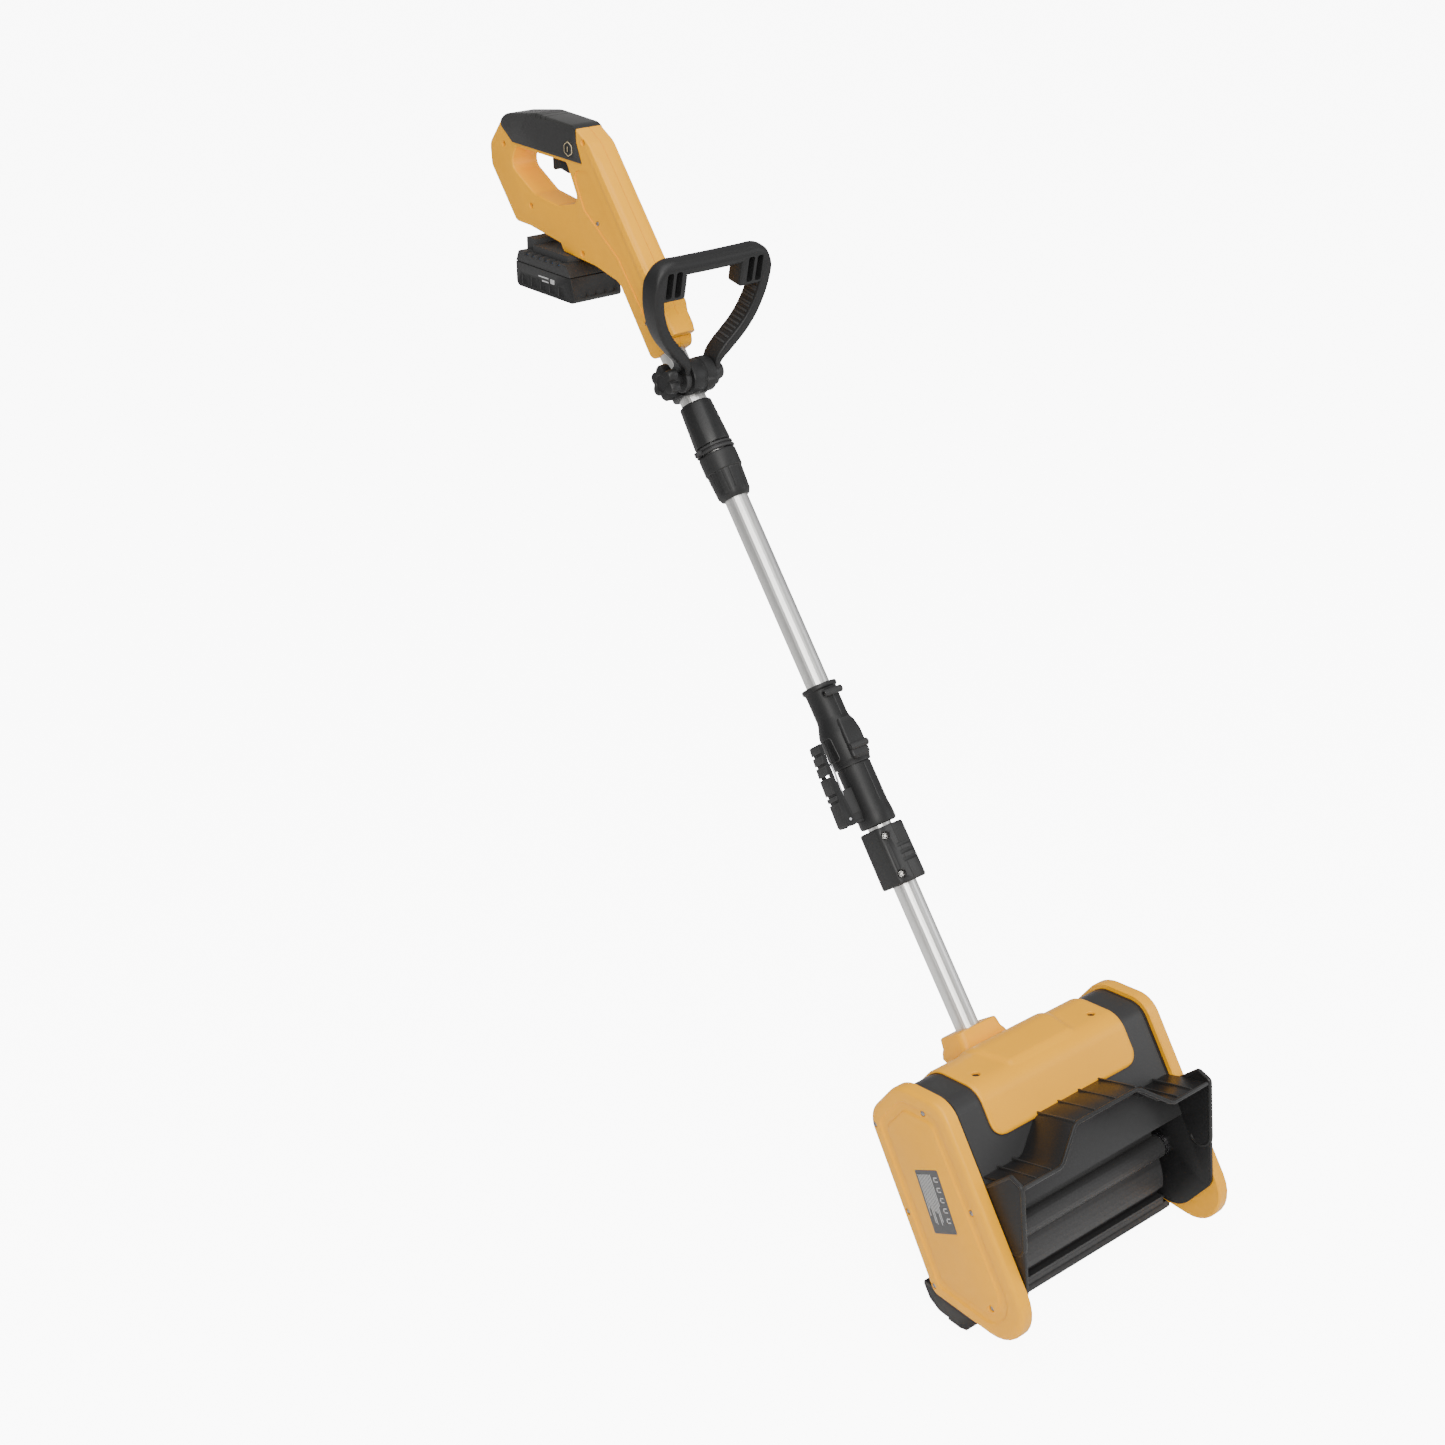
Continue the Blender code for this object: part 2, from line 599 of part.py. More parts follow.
def build_latch():
    """The over-centre lever on the coupling's left, its hook and its pin."""
    lever = slab("latch_lever", [rounded([(-0.006, -0.008, 0.004), (0.009, -0.007, 0.004),
                                          (0.005, 0.050, 0.010), (0.001, 0.090, 0.002),
                                          (-0.004, 0.092, 0.002), (-0.003, 0.046, 0.004),
                                          (-0.005, 0.018, 0.002)])],
                 -LATCH_HALF, LATCH_HALF, "black_shell", LATCH)
    slot_half = LATCH_HALF - 0.003 + SLIDE_GAP
    cut(lever, block("latch_slot", (-slot_half, -0.03, -0.02), (slot_half, 0.0065, 0.0085),
                     parent=LATCH),
        rod("latch_lever_bore", 0.002 + GAP, -0.02, 0.02, parent=LATCH, placed=ALONG_X))
    rod("latch_pin", 0.002, -LATCH_HALF, LATCH_HALF, "steel_parts", LATCH, 12,
        placed=ALONG_X)
    slab("latch_hook", [rounded([(-0.0075, 0.022, 0.001), (-0.0055, 0.022, 0.001),
                                 (-0.0048, 0.064, 0.002), (-0.011, 0.068, 0.001),
                                 (-0.012, 0.064, 0.001), (-0.0085, 0.060, 0.001)])],
         -0.005, 0.005, "steel_parts", LATCH)


def build_wiring():
    """The cable in the two tubes, and the plug and socket that part with the coupling."""
    low, high = SPIGOT
    rod("lower_cable", 0.003, LOWER_TUBE[0] + 0.002, low - 0.009, "copper_cable", POLE, 10)
    rod("connector_plug", 0.0115, low - 0.0085, low + 0.012, "black_shell", POLE, 16)
    rod("connector_socket", 0.0115, low + 0.0125, MAIN_TUBE[0] - 0.003, "black_shell", POLE, 16)
    rod("upper_cable", 0.003, MAIN_TUBE[0] - 0.0025, MAIN_TUBE[1] - 0.008, "copper_cable",
        POLE, 10)


def build_twist_lock():
    """The telescopic lock: a fixed sleeve and flange, and a collar that squeezes a collet."""
    bore = OUTER_TUBE_R + GAP
    turned("lock_sleeve", [(0.0180, 0.716), (0.0193, 0.7145), (0.0213, 0.664), (0.0200, 0.663)],
           [(bore, 0.663), (bore, 0.716)], "black_shell", POLE)
    flange = ring("lock_flange", 0.0235, bore, 0.6535, 0.6627, "black_shell", POLE)
    join(flange, block("lock_tab", (-0.029, -0.004, 0.6535), (-0.018, 0.004, 0.6600),
                       parent=POLE))
    grip = OUTER_TUBE_R + 0.0012
    turned("twist_collar", [(0.0215, 0.653), (0.0225, 0.651), (0.0225, 0.631), (0.0205, 0.629),
                            (0.0195, 0.602), (0.0172, 0.596)],
           [(TUBE_R + SLIDE_GAP, 0.596), (TUBE_R + SLIDE_GAP, 0.604), (grip, 0.604),
            (grip, 0.653)], "black_shell", POLE, 16)
    ring("lock_collet", OUTER_TUBE_R + 0.0005, TUBE_R + SLIDE_GAP, 0.607, OUTER_TUBE[0] - GAP,
         "black_shell", POLE, 20)


def drum_place():
    return Matrix.Translation((0, -CLAMP_OUT, CLAMP_AT)) @ ALONG_X


def build_clamp():
    """The split clamp on the outer tube, whose drum takes the loop handle's bolt."""
    bore = OUTER_TUBE_R + GAP
    low, high = CLAMP_AT - 0.017, CLAMP_AT + 0.017
    for name, sign in (("clamp_front", 1), ("clamp_rear", -1)):
        half = ring(name, 0.0225, bore, low, high, "black_shell", POLE)
        if sign > 0:
            join(half, rod("clamp_drum", CLAMP_DRUM_R, -CLAMP_DRUM_HALF, CLAMP_DRUM_HALF,
                           parent=POLE, placed=drum_place()))
            for i, side in enumerate((-1, 1)):
                near, far = sorted((side * CLAMP_DRUM_HALF, side * 0.05))
                cut(half, rod("clamp_ear_way_" + str(i), EAR_WAY_R, near, far,
                              parent=POLE, placed=drum_place()))
            cut(half, rod("clamp_clear", bore, low - 0.02, high + 0.02, parent=POLE, steps=24),
                rod("clamp_bolt_bore", 0.003 + GAP, -0.05, 0.05, parent=POLE, steps=12,
                    placed=drum_place()))
        near, far = sorted((-sign * GAP / 2, sign * 0.1))
        cut(half, block(name + "_cut", (-0.1, near, low - 0.05), (0.1, far, high + 0.05),
                        parent=POLE))
    ear = CLAMP_DRUM_HALF + SLIDE_GAP + EAR
    rod("clamp_bolt", 0.003, -ear - 0.020, ear + 0.008, "steel_parts", LOOP, 12,
        placed=ALONG_X)
    rounded_star = []
    for i in range(30):
        angle = math.tau * i / 30
        reach = 0.0185 + 0.0028 * math.cos(5 * angle)
        rounded_star.append((reach * math.cos(angle), reach * math.sin(angle)))
    knob = slab("clamp_knob", [rounded_star], -ear - 0.026, -ear - 0.011, "black_shell", LOOP)
    soften(knob, 0.002)
    join(knob, rod("clamp_knob_neck", 0.0085, -ear - 0.012, -ear - SLIDE_GAP, parent=LOOP,
                   placed=ALONG_X))
    cut(knob, rod("clamp_knob_bore", 0.003 + GAP, -ear - 0.0205, 0.0, parent=LOOP, steps=12,
                  placed=ALONG_X))
    cap = rod("clamp_cap", 0.011, ear + SLIDE_GAP, ear + 0.012, "black_shell", LOOP, 12,
              placed=ALONG_X)
    cut(cap, rod("clamp_cap_bore", 0.003 + GAP, 0.0, ear + 0.0085, parent=LOOP, steps=12,
                 placed=ALONG_X))


def build_loop():
    """The loop handle: two ears on the drum, arms that flare out and up, and a top bar."""
    mid_ear = CLAMP_DRUM_HALF + SLIDE_GAP + EAR / 2
    half = EAR / 2 - GAP
    right = [(mid_ear - half, -0.006, 0.0), (mid_ear + half, -0.006, 0.0),
             (mid_ear + half, 0.0125, 0.003), (0.034, 0.022, 0.0), (0.056, 0.0465, 0.028),
             (0.0765, 0.084, 0.040), (0.0835, 0.125, 0.030), (0.075, 0.152, 0.014)]
    inside = [(0.036, 0.132, 0.004), (0.039, 0.108, 0.004), (0.066, 0.103, 0.008),
              (0.0665, 0.086, 0.012), (0.048, 0.060, 0.024), (mid_ear - half, 0.0255, 0.003)]
    outer = [*right, *[(-x, z, r) for x, z, r in right[::-1]]]
    inner = [*[(-x, z, r) for x, z, r in inside[::-1]], *inside]
    loop = slab("loop_handle", [rounded(outer + inner, 3)], -LOOP_DEPTH / 2, LOOP_DEPTH / 2,
                "black_shell", LOOP, ACROSS_Y)
    soften(loop, 0.0015)
    for i, sign in enumerate((-1, 1)):
        low, high = sorted((sign * (mid_ear - EAR / 2), sign * (mid_ear + EAR / 2)))
        join(loop, rod("loop_ear_" + str(i), EAR_R, low, high, parent=LOOP,
                       placed=ALONG_X))
    cut(loop, rod("loop_bolt_bore", 0.003 + GAP, -0.05, 0.05, parent=LOOP, steps=12,
                  placed=ALONG_X))
    for i, x in enumerate((-0.0640, -0.0515, 0.0515, 0.0640)):
        cut(loop, block("loop_pocket_" + str(i), (x - 0.0042, -0.05, 0.111),
                        (x + 0.0042, LOOP_DEPTH / 2 - 0.004, 0.141), parent=LOOP))


# ---------------------------------------------------------------- rear handle

def grip_zone(front, rise):
    """The part of the grip that the soft skin covers."""
    return [(front + 0.012, 1.160), (front, 1.087 + rise), (0.955, 1.090 + rise),
            (0.978, 1.106 + rise), (0.985, 1.160)]


def hollow_outlines(wall):
    """The rear handle's outline and its hole, with a wall left along both."""
    return [rounded(inset(HANDLE, wall), 2), rounded(inset(GRIP_HOLE, -wall), 2)]


def handle_half(name, slot, parent):
    """The rear handle's whole outline, hollow, with room for the tube, trigger and switch."""
    body = slab(name, [rounded(HANDLE, 3), rounded(GRIP_HOLE, 3)], -HANDLE_HALF, HANDLE_HALF,
                slot)
    soften(body, 0.005, 1, 60)
    room = HANDLE_HALF - HANDLE_WALL
    wide = slab(name + "_wide_room", hollow_outlines(HANDLE_WALL + 0.003), -room, room)
    cut(wide, slab(name + "_grip_block", [grip_zone(0.813, -0.030)], -0.04, 0.04))
    narrow = slab(name + "_narrow_room", hollow_outlines(HANDLE_WALL + 0.0045),
                  HANDLE_WALL - room, room - HANDLE_WALL)
    zone = slab(name + "_zone", [grip_zone(0.8165, 0.0)], -0.03, 0.03)
    core = slab(name + "_core", [rounded(inset(HANDLE, GRIP_SKIN + GAP), 3)],
                -HANDLE_HALF + GRIP_SKIN + GAP, HANDLE_HALF - GRIP_SKIN - GAP)
    cut(zone, core)
    cut(body, wide, narrow, zone,
        rod(name + "_bore", OUTER_TUBE_R + GAP, 0.7, OUTER_TUBE[1] + 0.002, parent=POLE, steps=32),
        block(name + "_trigger_way", (-0.0075, -0.0215, -0.016), (0.0075, 0.0215, 0.016),
              parent=TRIGGER),
        rod(name + "_button_way", 0.0078 + SLIDE_GAP, -0.008, 0.008, parent=BUTTON, steps=6,
            placed=ALONG_X))
    return body


def build_grip():
    """The soft skin over the top of the grip."""
    body = slab("grip_skin", [rounded(HANDLE)], -HANDLE_HALF - 0.0006, HANDLE_HALF + 0.0006,
                "soft_grip")
    soften(body, 0.005, 2, 60)
    zone = grip_zone(0.8165 + GAP, GAP)
    outside = slab("grip_outside", [[(0.5, 0.8), (1.2, 0.8), (1.2, 1.3), (0.5, 1.3)], zone],
                   -0.05, 0.05)
    core = slab("grip_core", [rounded(inset(HANDLE, GRIP_SKIN))],
                -HANDLE_HALF + GRIP_SKIN, HANDLE_HALF - GRIP_SKIN)
    cut(body, outside, core,
        rod("grip_button_way", 0.0078 + SLIDE_GAP, -0.008, 0.008, parent=BUTTON, steps=6,
            placed=ALONG_X))


def build_controls():
    """The trigger, the hexagonal lock-off button and the switch they work."""
    slab("trigger", [rounded([(-0.019, 0.010, 0.002), (-0.021, -0.006, 0.003),
                              (-0.012, -0.013, 0.004), (0.004, -0.010, 0.012),
                              (0.019, -0.014, 0.003), (0.020, 0.010, 0.002)])],
         -0.007, 0.007, "black_shell", TRIGGER)
    button = rod("lock_off_button", 0.0078, -0.0065, 0.006, "black_shell", BUTTON, 6, ALONG_X)
    soften(button, 0.0008)
    block("switch_module", (-0.006, 0.834, 1.102), (0.009, 0.874, 1.118), "black_shell",
          edge=0.001)
    block("control_board", (-0.0125, 0.800, 0.985), (0.0125, 0.850, 0.989), "copper_cable")


def build_battery():
    """The battery: lower and upper case round a cell block, and its release button."""
    (front, back), (low, high) = PACK
    seam = low + 0.030
    y, z = BATTERY.location.y, BATTERY.location.z
    side = [(back - y, low - z, 0.006), (back - y, seam - z, 0.0),
            (front + 0.008 - y, seam - z, 0.0), (front - y, low - z, 0.006)]
    lower = slab("battery_lower_case", [rounded([side[3], side[0], side[1], side[2]], 3)],
                 -PACK_HALF, PACK_HALF, "black_shell", BATTERY)
    soften(lower, 0.004, 1, 60)
    upper_side = [(front + 0.008 - y, seam + GAP - z, 0.0), (back - y, seam + GAP - z, 0.0),
                  (back - 0.006 - y, high - z, 0.003), (front + 0.018 - y, high - z, 0.003)]
    upper = slab("battery_upper_case", [rounded(upper_side, 3)], -PACK_HALF, PACK_HALF,
                 "black_shell", BATTERY)
    soften(upper, 0.004, 1, 60)
    room_low = (-PACK_HALF + PACK_WALL, front + 0.014 - y, low + PACK_WALL - z)
    room_high = (PACK_HALF - PACK_WALL, back - PACK_WALL - 0.003 - y, seam + 0.004 - z)
    cut(lower, block("battery_lower_room", room_low, room_high, parent=BATTERY))
    upper_low = (room_low[0], room_low[1] + 0.010, seam - 0.004 - z)
    upper_high = (room_high[0], room_high[1] - 0.012, high - PACK_WALL - z)
    cut(upper, block("battery_upper_room", upper_low, upper_high, parent=BATTERY))
    block("cell_block", (room_low[0] + 0.001, upper_low[1] + 0.001, room_low[2] + 0.001),
          (room_high[0] - 0.001, upper_high[1] - 0.001, upper_high[2] - 0.001),
          "copper_cable", BATTERY)
    # The rail that slides into the mount, and the tower behind it with the button.
    rail = block("battery_rail", (-0.019, front + 0.030 - y, high - 0.001 - z),
                 (0.019, back - 0.030 - y, high + 0.0035 - z), parent=BATTERY)
    tower = block("battery_tower", (-0.022, back - 0.025 - y, high - 0.001 - z),
                  (0.022, back - 0.006 - y, high + 0.014 - z), parent=BATTERY, edge=0.002)
    join(upper, rail, tower)
    cut(upper, block("battery_button_way", (-0.0105, 0.0125, -0.0065), (0.0105, 0.05, 0.0065),
                     parent=RELEASE))
    block("battery_release", (-0.010, 0.015, -0.006), (0.010, 0.0205, 0.006), "soft_grip",
          RELEASE, 0.001)


def build_battery_mount():
    """The rails and contacts under the rear handle that the battery slides on to."""
    (front, back), (_, high) = PACK
    mount = block("battery_mount", (-0.027, front + 0.024, high + GAP),
                  (0.027, back - 0.026, high + 0.0085), "black_shell")
    cut(mount, block("mount_channel", (-0.019 - SLIDE_GAP, front + 0.0295, high - 0.01),
                     (0.019 + SLIDE_GAP, back, high + 0.004)))
    cut(mount, slab("mount_handle", [rounded(inset(HANDLE, -GAP))],
                    -HANDLE_HALF - GAP, HANDLE_HALF + GAP))


# ---------------------------------------------------------------- assembly

def clear_scene():
    for obj in list(bpy.data.objects):
        bpy.data.objects.remove(obj, do_unlink=True)


clear_scene()
POLE = frame("pole_frame", (0, *POLE_FOOT), turn_x=POLE_RISE - math.pi / 2)
ROTOR = frame("rotor_frame", (0, *ROTOR_AT))
MOTOR = frame("motor_frame", (0, *MOTOR_AT))
LATCH = frame("latch_frame", (-LATCH_AT[0], 0, LATCH_AT[1]), POLE, turn_z=math.pi / 2)
LOOP = frame("loop_frame", (0, -CLAMP_OUT, CLAMP_AT), POLE,
             turn_x=math.pi / 2 - POLE_RISE + LOOP_LEAN)
TRIGGER = frame("trigger_frame", (0, 0.872, 1.080))
BUTTON = frame("lock_button_frame", (-HANDLE_HALF + 0.004, 0.8405, 1.1008))
BATTERY = frame("battery_frame", (0, 0.875, 0.946))
RELEASE = frame("release_frame", (0, PACK[0][1] - 0.025, PACK[1][1] + 0.0065), None)

build_housing()
build_top_cover()
for cover_side, cover_sign in (("left", -1), ("right", 1)):
    build_side_cover(cover_side, cover_sign)
    build_cheek(cover_side, cover_sign)
build_hood()
build_scraper()
build_rotor()
build_drive()

tube("lower_tube", TUBE_R, LOWER_TUBE, POLE)
tube("main_tube", TUBE_R, MAIN_TUBE, POLE)
tube("outer_tube", OUTER_TUBE_R, OUTER_TUBE, POLE)
split("pole_collar", collar_half, "black_shell", POLE)
build_coupling_barrel()
split("coupling_socket", socket_half, "black_shell", POLE)
build_latch()
build_wiring()
build_twist_lock()
build_clamp()
build_loop()

split("handle_shell", handle_half, "yellow_shell")
build_grip()
build_controls()
build_battery()
build_battery_mount()
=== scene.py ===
"""A cordless snow shovel: rotor head, telescopic pole, loop handle, rear grip and battery."""
import json
import math

import bmesh
import bpy
from mathutils import Matrix, Vector


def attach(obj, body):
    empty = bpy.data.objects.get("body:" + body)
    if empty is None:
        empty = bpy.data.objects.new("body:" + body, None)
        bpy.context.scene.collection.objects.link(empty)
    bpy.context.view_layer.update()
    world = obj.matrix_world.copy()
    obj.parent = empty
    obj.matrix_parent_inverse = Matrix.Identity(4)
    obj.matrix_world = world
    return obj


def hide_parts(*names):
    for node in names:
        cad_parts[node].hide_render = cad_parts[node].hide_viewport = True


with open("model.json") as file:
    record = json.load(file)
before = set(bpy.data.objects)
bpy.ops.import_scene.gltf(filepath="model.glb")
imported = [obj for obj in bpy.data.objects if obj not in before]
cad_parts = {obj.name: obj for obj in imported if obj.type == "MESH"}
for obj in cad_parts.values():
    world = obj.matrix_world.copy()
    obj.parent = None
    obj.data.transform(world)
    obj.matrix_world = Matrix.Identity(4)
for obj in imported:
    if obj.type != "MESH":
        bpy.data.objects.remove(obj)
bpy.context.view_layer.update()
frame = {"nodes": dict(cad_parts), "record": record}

# ---------------------------------------------------------------- sizes, in metres

COVER_NEAR = 0.1496             # inner face of a side cover
COVER_FACE = 0.1668             # and its outer face
TOP_HALF = 0.111                # half width of the yellow top cover
MOUTH_HALF = 0.145
SKIN_INSET = 0.006
ROTOR_AT = (-0.015, 0.102)
CHAMBER_R = 0.0645
TUBE_R = 0.014
OUTER_TUBE_R = 0.01575
TUBE_GAP = 0.0003               # between a tube and what holds it
HANDLE_HALF = 0.0192
PACK_HALF = 0.035
POLE_RISE = 51.55               # the pole's slope above level, in degrees
CLAMP_AT = 0.742                # the loop's bolt: how far up the pole, and how far in front
CLAMP_OUT = 0.0225
BUTTON_AT = (-0.0152, 0.8405, 1.1008)

RIM = ((0.026, 0.029, 0.012), (0.138, 0.205, 0.030), (0.097, 0.264, 0.040),
       (0.0285, 0.272, 0.032), (-0.143, 0.029, 0.050))
SCRAPER = ((-0.030, 0.018, 0.001), (-0.019, 0.003, 0.002), (-0.009, 0.0, 0.0005),
           (0.009, 0.0, 0.0005), (0.011, 0.002, 0.0005), (0.024, 0.003, 0.004),
           (0.038, 0.010, 0.004), (0.048, 0.024, 0.002), (0.048, 0.0287, 0.0005),
           (-0.030, 0.0287, 0.0005))
HANDLE = ((0.690, 0.882, 0.010), (0.750, 0.962, 0.020), (0.795, 0.972, 0.006),
          (0.858, 0.977, 0.002), (0.864, 0.986, 0.002), (0.925, 0.995, 0.008),
          (0.955, 0.996, 0.010), (1.003, 1.056, 0.012), (1.005, 1.082, 0.016),
          (0.972, 1.122, 0.030), (0.905, 1.132, 0.060), (0.833, 1.129, 0.020),
          (0.803, 1.112, 0.030), (0.694, 0.975, 0.014), (0.671, 0.952, 0.012),
          (0.659, 0.904, 0.010))
GRIP_HOLE = ((0.825, 1.040, 0.010), (0.868, 1.030, 0.012), (0.915, 1.036, 0.020),
             (0.962, 1.062, 0.012), (0.950, 1.086, 0.010), (0.848, 1.084, 0.006))

POLE = (Matrix.Translation((0, 0.189, 0.281))
        @ Matrix.Rotation(math.radians(POLE_RISE - 90), 4, "X"))
LOOP = POLE @ Matrix.Translation((0, -CLAMP_OUT, CLAMP_AT))
LOOP = Matrix.Translation(LOOP.translation) @ Matrix.Rotation(math.radians(11), 4, "X")
LATCH = POLE @ Matrix.Translation((-0.040, 0, 0.207)) @ Matrix.Rotation(math.pi / 2, 4, "Z")
ACROSS_X = Matrix(((0, 0, 1, 0), (1, 0, 0, 0), (0, 1, 0, 0), (0, 0, 0, 1)))
ALONG_X = Matrix.Rotation(math.radians(90), 4, "Y")
HERE = Matrix()


# ---------------------------------------------------------------- outlines

def rounded(corners, steps=8):
    """The points of an outline whose corners (a, b, radius) are turned by arcs."""
    points = []
    for i, (a, b, radius) in enumerate(corners):
        corner = Vector((a, b))
        before = Vector(corners[i - 1][:2]) - corner
        after = Vector(corners[(i + 1) % len(corners)][:2]) - corner
        half = before.angle(after) / 2
        radius = min(radius, 0.49 * min(before.length, after.length) * math.tan(half))
        if radius < 1e-5 or half > math.radians(89):
            points.append(corner)
            continue
        middle = (before.normalized() + after.normalized()).normalized()
        centre = corner + middle * radius / math.sin(half)
        start = corner + before.normalized() * radius / math.tan(half) - centre
        end = corner + after.normalized() * radius / math.tan(half) - centre
        sweep = start.angle_signed(end)
        for step in range(steps + 1):
            points.append(centre + Matrix.Rotation(-sweep * step / steps, 2) @ start)
    return [tuple(point) for point in points]


def inset(corners, depth, least=0.0005):
    """The corners of an anticlockwise outline whose sides move inwards by depth."""
    moved = []
    count = len(corners)
    for i, (a, b, radius) in enumerate(corners):
        corner = Vector((a, b))
        into = (corner - Vector(corners[i - 1][:2])).normalized()
        out = (Vector(corners[(i + 1) % count][:2]) - corner).normalized()
        turn = into.x * out.y - into.y * out.x
        normals = Vector((-into.y, into.x)), Vector((-out.y, out.x))
        shift = (normals[0] + normals[1]) * depth / (1 + normals[0].dot(normals[1]))
        moved.append((*(corner + shift), max(radius - math.copysign(depth, turn), least)))
    return moved


def arc(centre, radius, start, end, steps):
    angles = (math.radians(start + (end - start) * i / steps) for i in range(steps + 1))
    return [(centre[0] + radius * math.cos(t), centre[1] + radius * math.sin(t)) for t in angles]


def round_box(half_x, half_y, radius, steps=6, middle=(0.0, 0.0)):
    x, y = middle
    return rounded([(x - half_x, y - half_y, radius), (x + half_x, y - half_y, radius),
                    (x + half_x, y + half_y, radius), (x - half_x, y + half_y, radius)], steps)


def smooth(value, low, high):
    t = min(max((value - low) / (high - low), 0.0), 1.0)
    return t * t * (3 - 2 * t)


# ---------------------------------------------------------------- shapes

def mesh_of(points, faces, place=HERE):
    mesh = bpy.data.meshes.new("shape")
    mesh.from_pydata([tuple(place @ Vector(p)) for p in points], [], faces)
    work = bmesh.new()
    work.from_mesh(mesh)
    bmesh.ops.remove_doubles(work, verts=work.verts, dist=1e-6)
    bmesh.ops.recalc_face_normals(work, faces=work.faces)
    work.to_mesh(mesh)
    work.free()
    return mesh


def loft(rings, place=HERE, around=False):
    """A skin over rings of points, closed at both ends, or joined round into a loop."""
    count = len(rings[0])
    points = [p for ring in rings for p in ring]
    faces = []
    turns = len(rings) if around else len(rings) - 1
    for i in range(turns):
        a = i * count
        b = (i + 1) % len(rings) * count
        for j in range(count):
            k = (j + 1) % count
            faces.append((a + j, a + k, b + k, b + j))
    if not around:
        faces.append(tuple(range(count))[::-1])
        faces.append(tuple(range(len(points) - count, len(points))))
    return mesh_of(points, faces, place)


def prism(outline, low, high, place=HERE, across=ACROSS_X):
    rings = [[tuple(across @ Vector((a, b, depth))) for a, b in outline]
             for depth in (low, high)]
    return loft(rings, place)


def lathe(profile, steps=48, place=HERE):
    """A turned solid: (radius, height) points, closed on the axis at both ends."""
    rings = []
    for radius, height in profile:
        rings.append([(max(radius, 1e-5) * math.cos(math.tau * i / steps),
                       max(radius, 1e-5) * math.sin(math.tau * i / steps), height)
                      for i in range(steps)])
    return loft(rings, place)


def turned_ring(profile, steps=48, place=HERE):
    """A turned shape with a hole: a closed (radius, height) profile."""
    rings = []
    for i in range(steps):
        angle = math.tau * i / steps
        rings.append([(r * math.cos(angle), r * math.sin(angle), z) for r, z in profile])
    return loft(rings, place, around=True)


def box(low, high, place=HERE):
    outline = [(low[0], low[1]), (high[0], low[1]), (high[0], high[1]), (low[0], high[1])]
    return loft([[(x, y, z) for x, y in outline] for z in (low[2], high[2])], place)


def pipe(path, radius, sides=12, place=HERE):
    """A round bar along a path of points."""
    path = [Vector(p) for p in path]
    rings = []
    side = None
    for i, point in enumerate(path):
        along = (path[min(i + 1, len(path) - 1)] - path[max(i - 1, 0)]).normalized()
        if side is None:
            side = along.orthogonal().normalized()
        side = (side - along * side.dot(along)).normalized()
        other = along.cross(side)
        rings.append([tuple(point + side * radius * math.cos(math.tau * k / sides)
                            + other * radius * math.sin(math.tau * k / sides))
                      for k in range(sides)])
    return loft(rings, place)


def merged(*meshes):
    work = bmesh.new()
    for mesh in meshes:
        work.from_mesh(mesh)
    out = bpy.data.meshes.new("shape")
    work.to_mesh(out)
    work.free()
    return out


def evaluated(obj):
    bpy.context.view_layer.update()
    graph = bpy.context.evaluated_depsgraph_get()
    return bpy.data.meshes.new_from_object(obj.evaluated_get(graph))


def loose(mesh):
    obj = bpy.data.objects.new("tool", mesh)
    bpy.context.scene.collection.objects.link(obj)
    return obj


def boolean(mesh, operation, tools):
    """The mesh with each tool taken off, added or kept."""
    base = loose(mesh)
    others = [loose(tool) for tool in tools]
    for other in others:
        modifier = base.modifiers.new("b", "BOOLEAN")
        modifier.operation = operation
        modifier.solver = "EXACT"
        modifier.object = other
    result = evaluated(base)
    for obj in (base, *others):
        bpy.data.objects.remove(obj)
    return result


def cut(mesh, *tools):
    return boolean(mesh, "DIFFERENCE", tools)


def union(mesh, *tools):
    return boolean(mesh, "UNION", tools)


def softened(mesh, width, segments=3, angle=40):
    """The mesh with its edges rounded."""
    obj = loose(mesh)
    bevel = obj.modifiers.new("bevel", "BEVEL")
    bevel.width = width
    bevel.segments = segments
    bevel.limit_method = "ANGLE"
    bevel.angle_limit = math.radians(angle)
    bevel.use_clamp_overlap = True
    bevel.harden_normals = False
    result = evaluated(obj)
    bpy.data.objects.remove(obj)
    return result


def shade(mesh, angle=38):
    mesh.shade_smooth()
    mesh.set_sharp_from_angle(angle=math.radians(angle))


def part(name, mesh, material, body, stands_for=(), angle=38):
    """A finished piece that rides on a body."""
    obj = bpy.data.objects.new(name, mesh)
    bpy.context.scene.collection.objects.link(obj)
    shade(mesh, angle)
    mesh.materials.clear()
    mesh.materials.append(material)
    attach(obj, body)
    if stands_for:
        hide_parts(*stands_for)
    return obj


# ---------------------------------------------------------------- materials

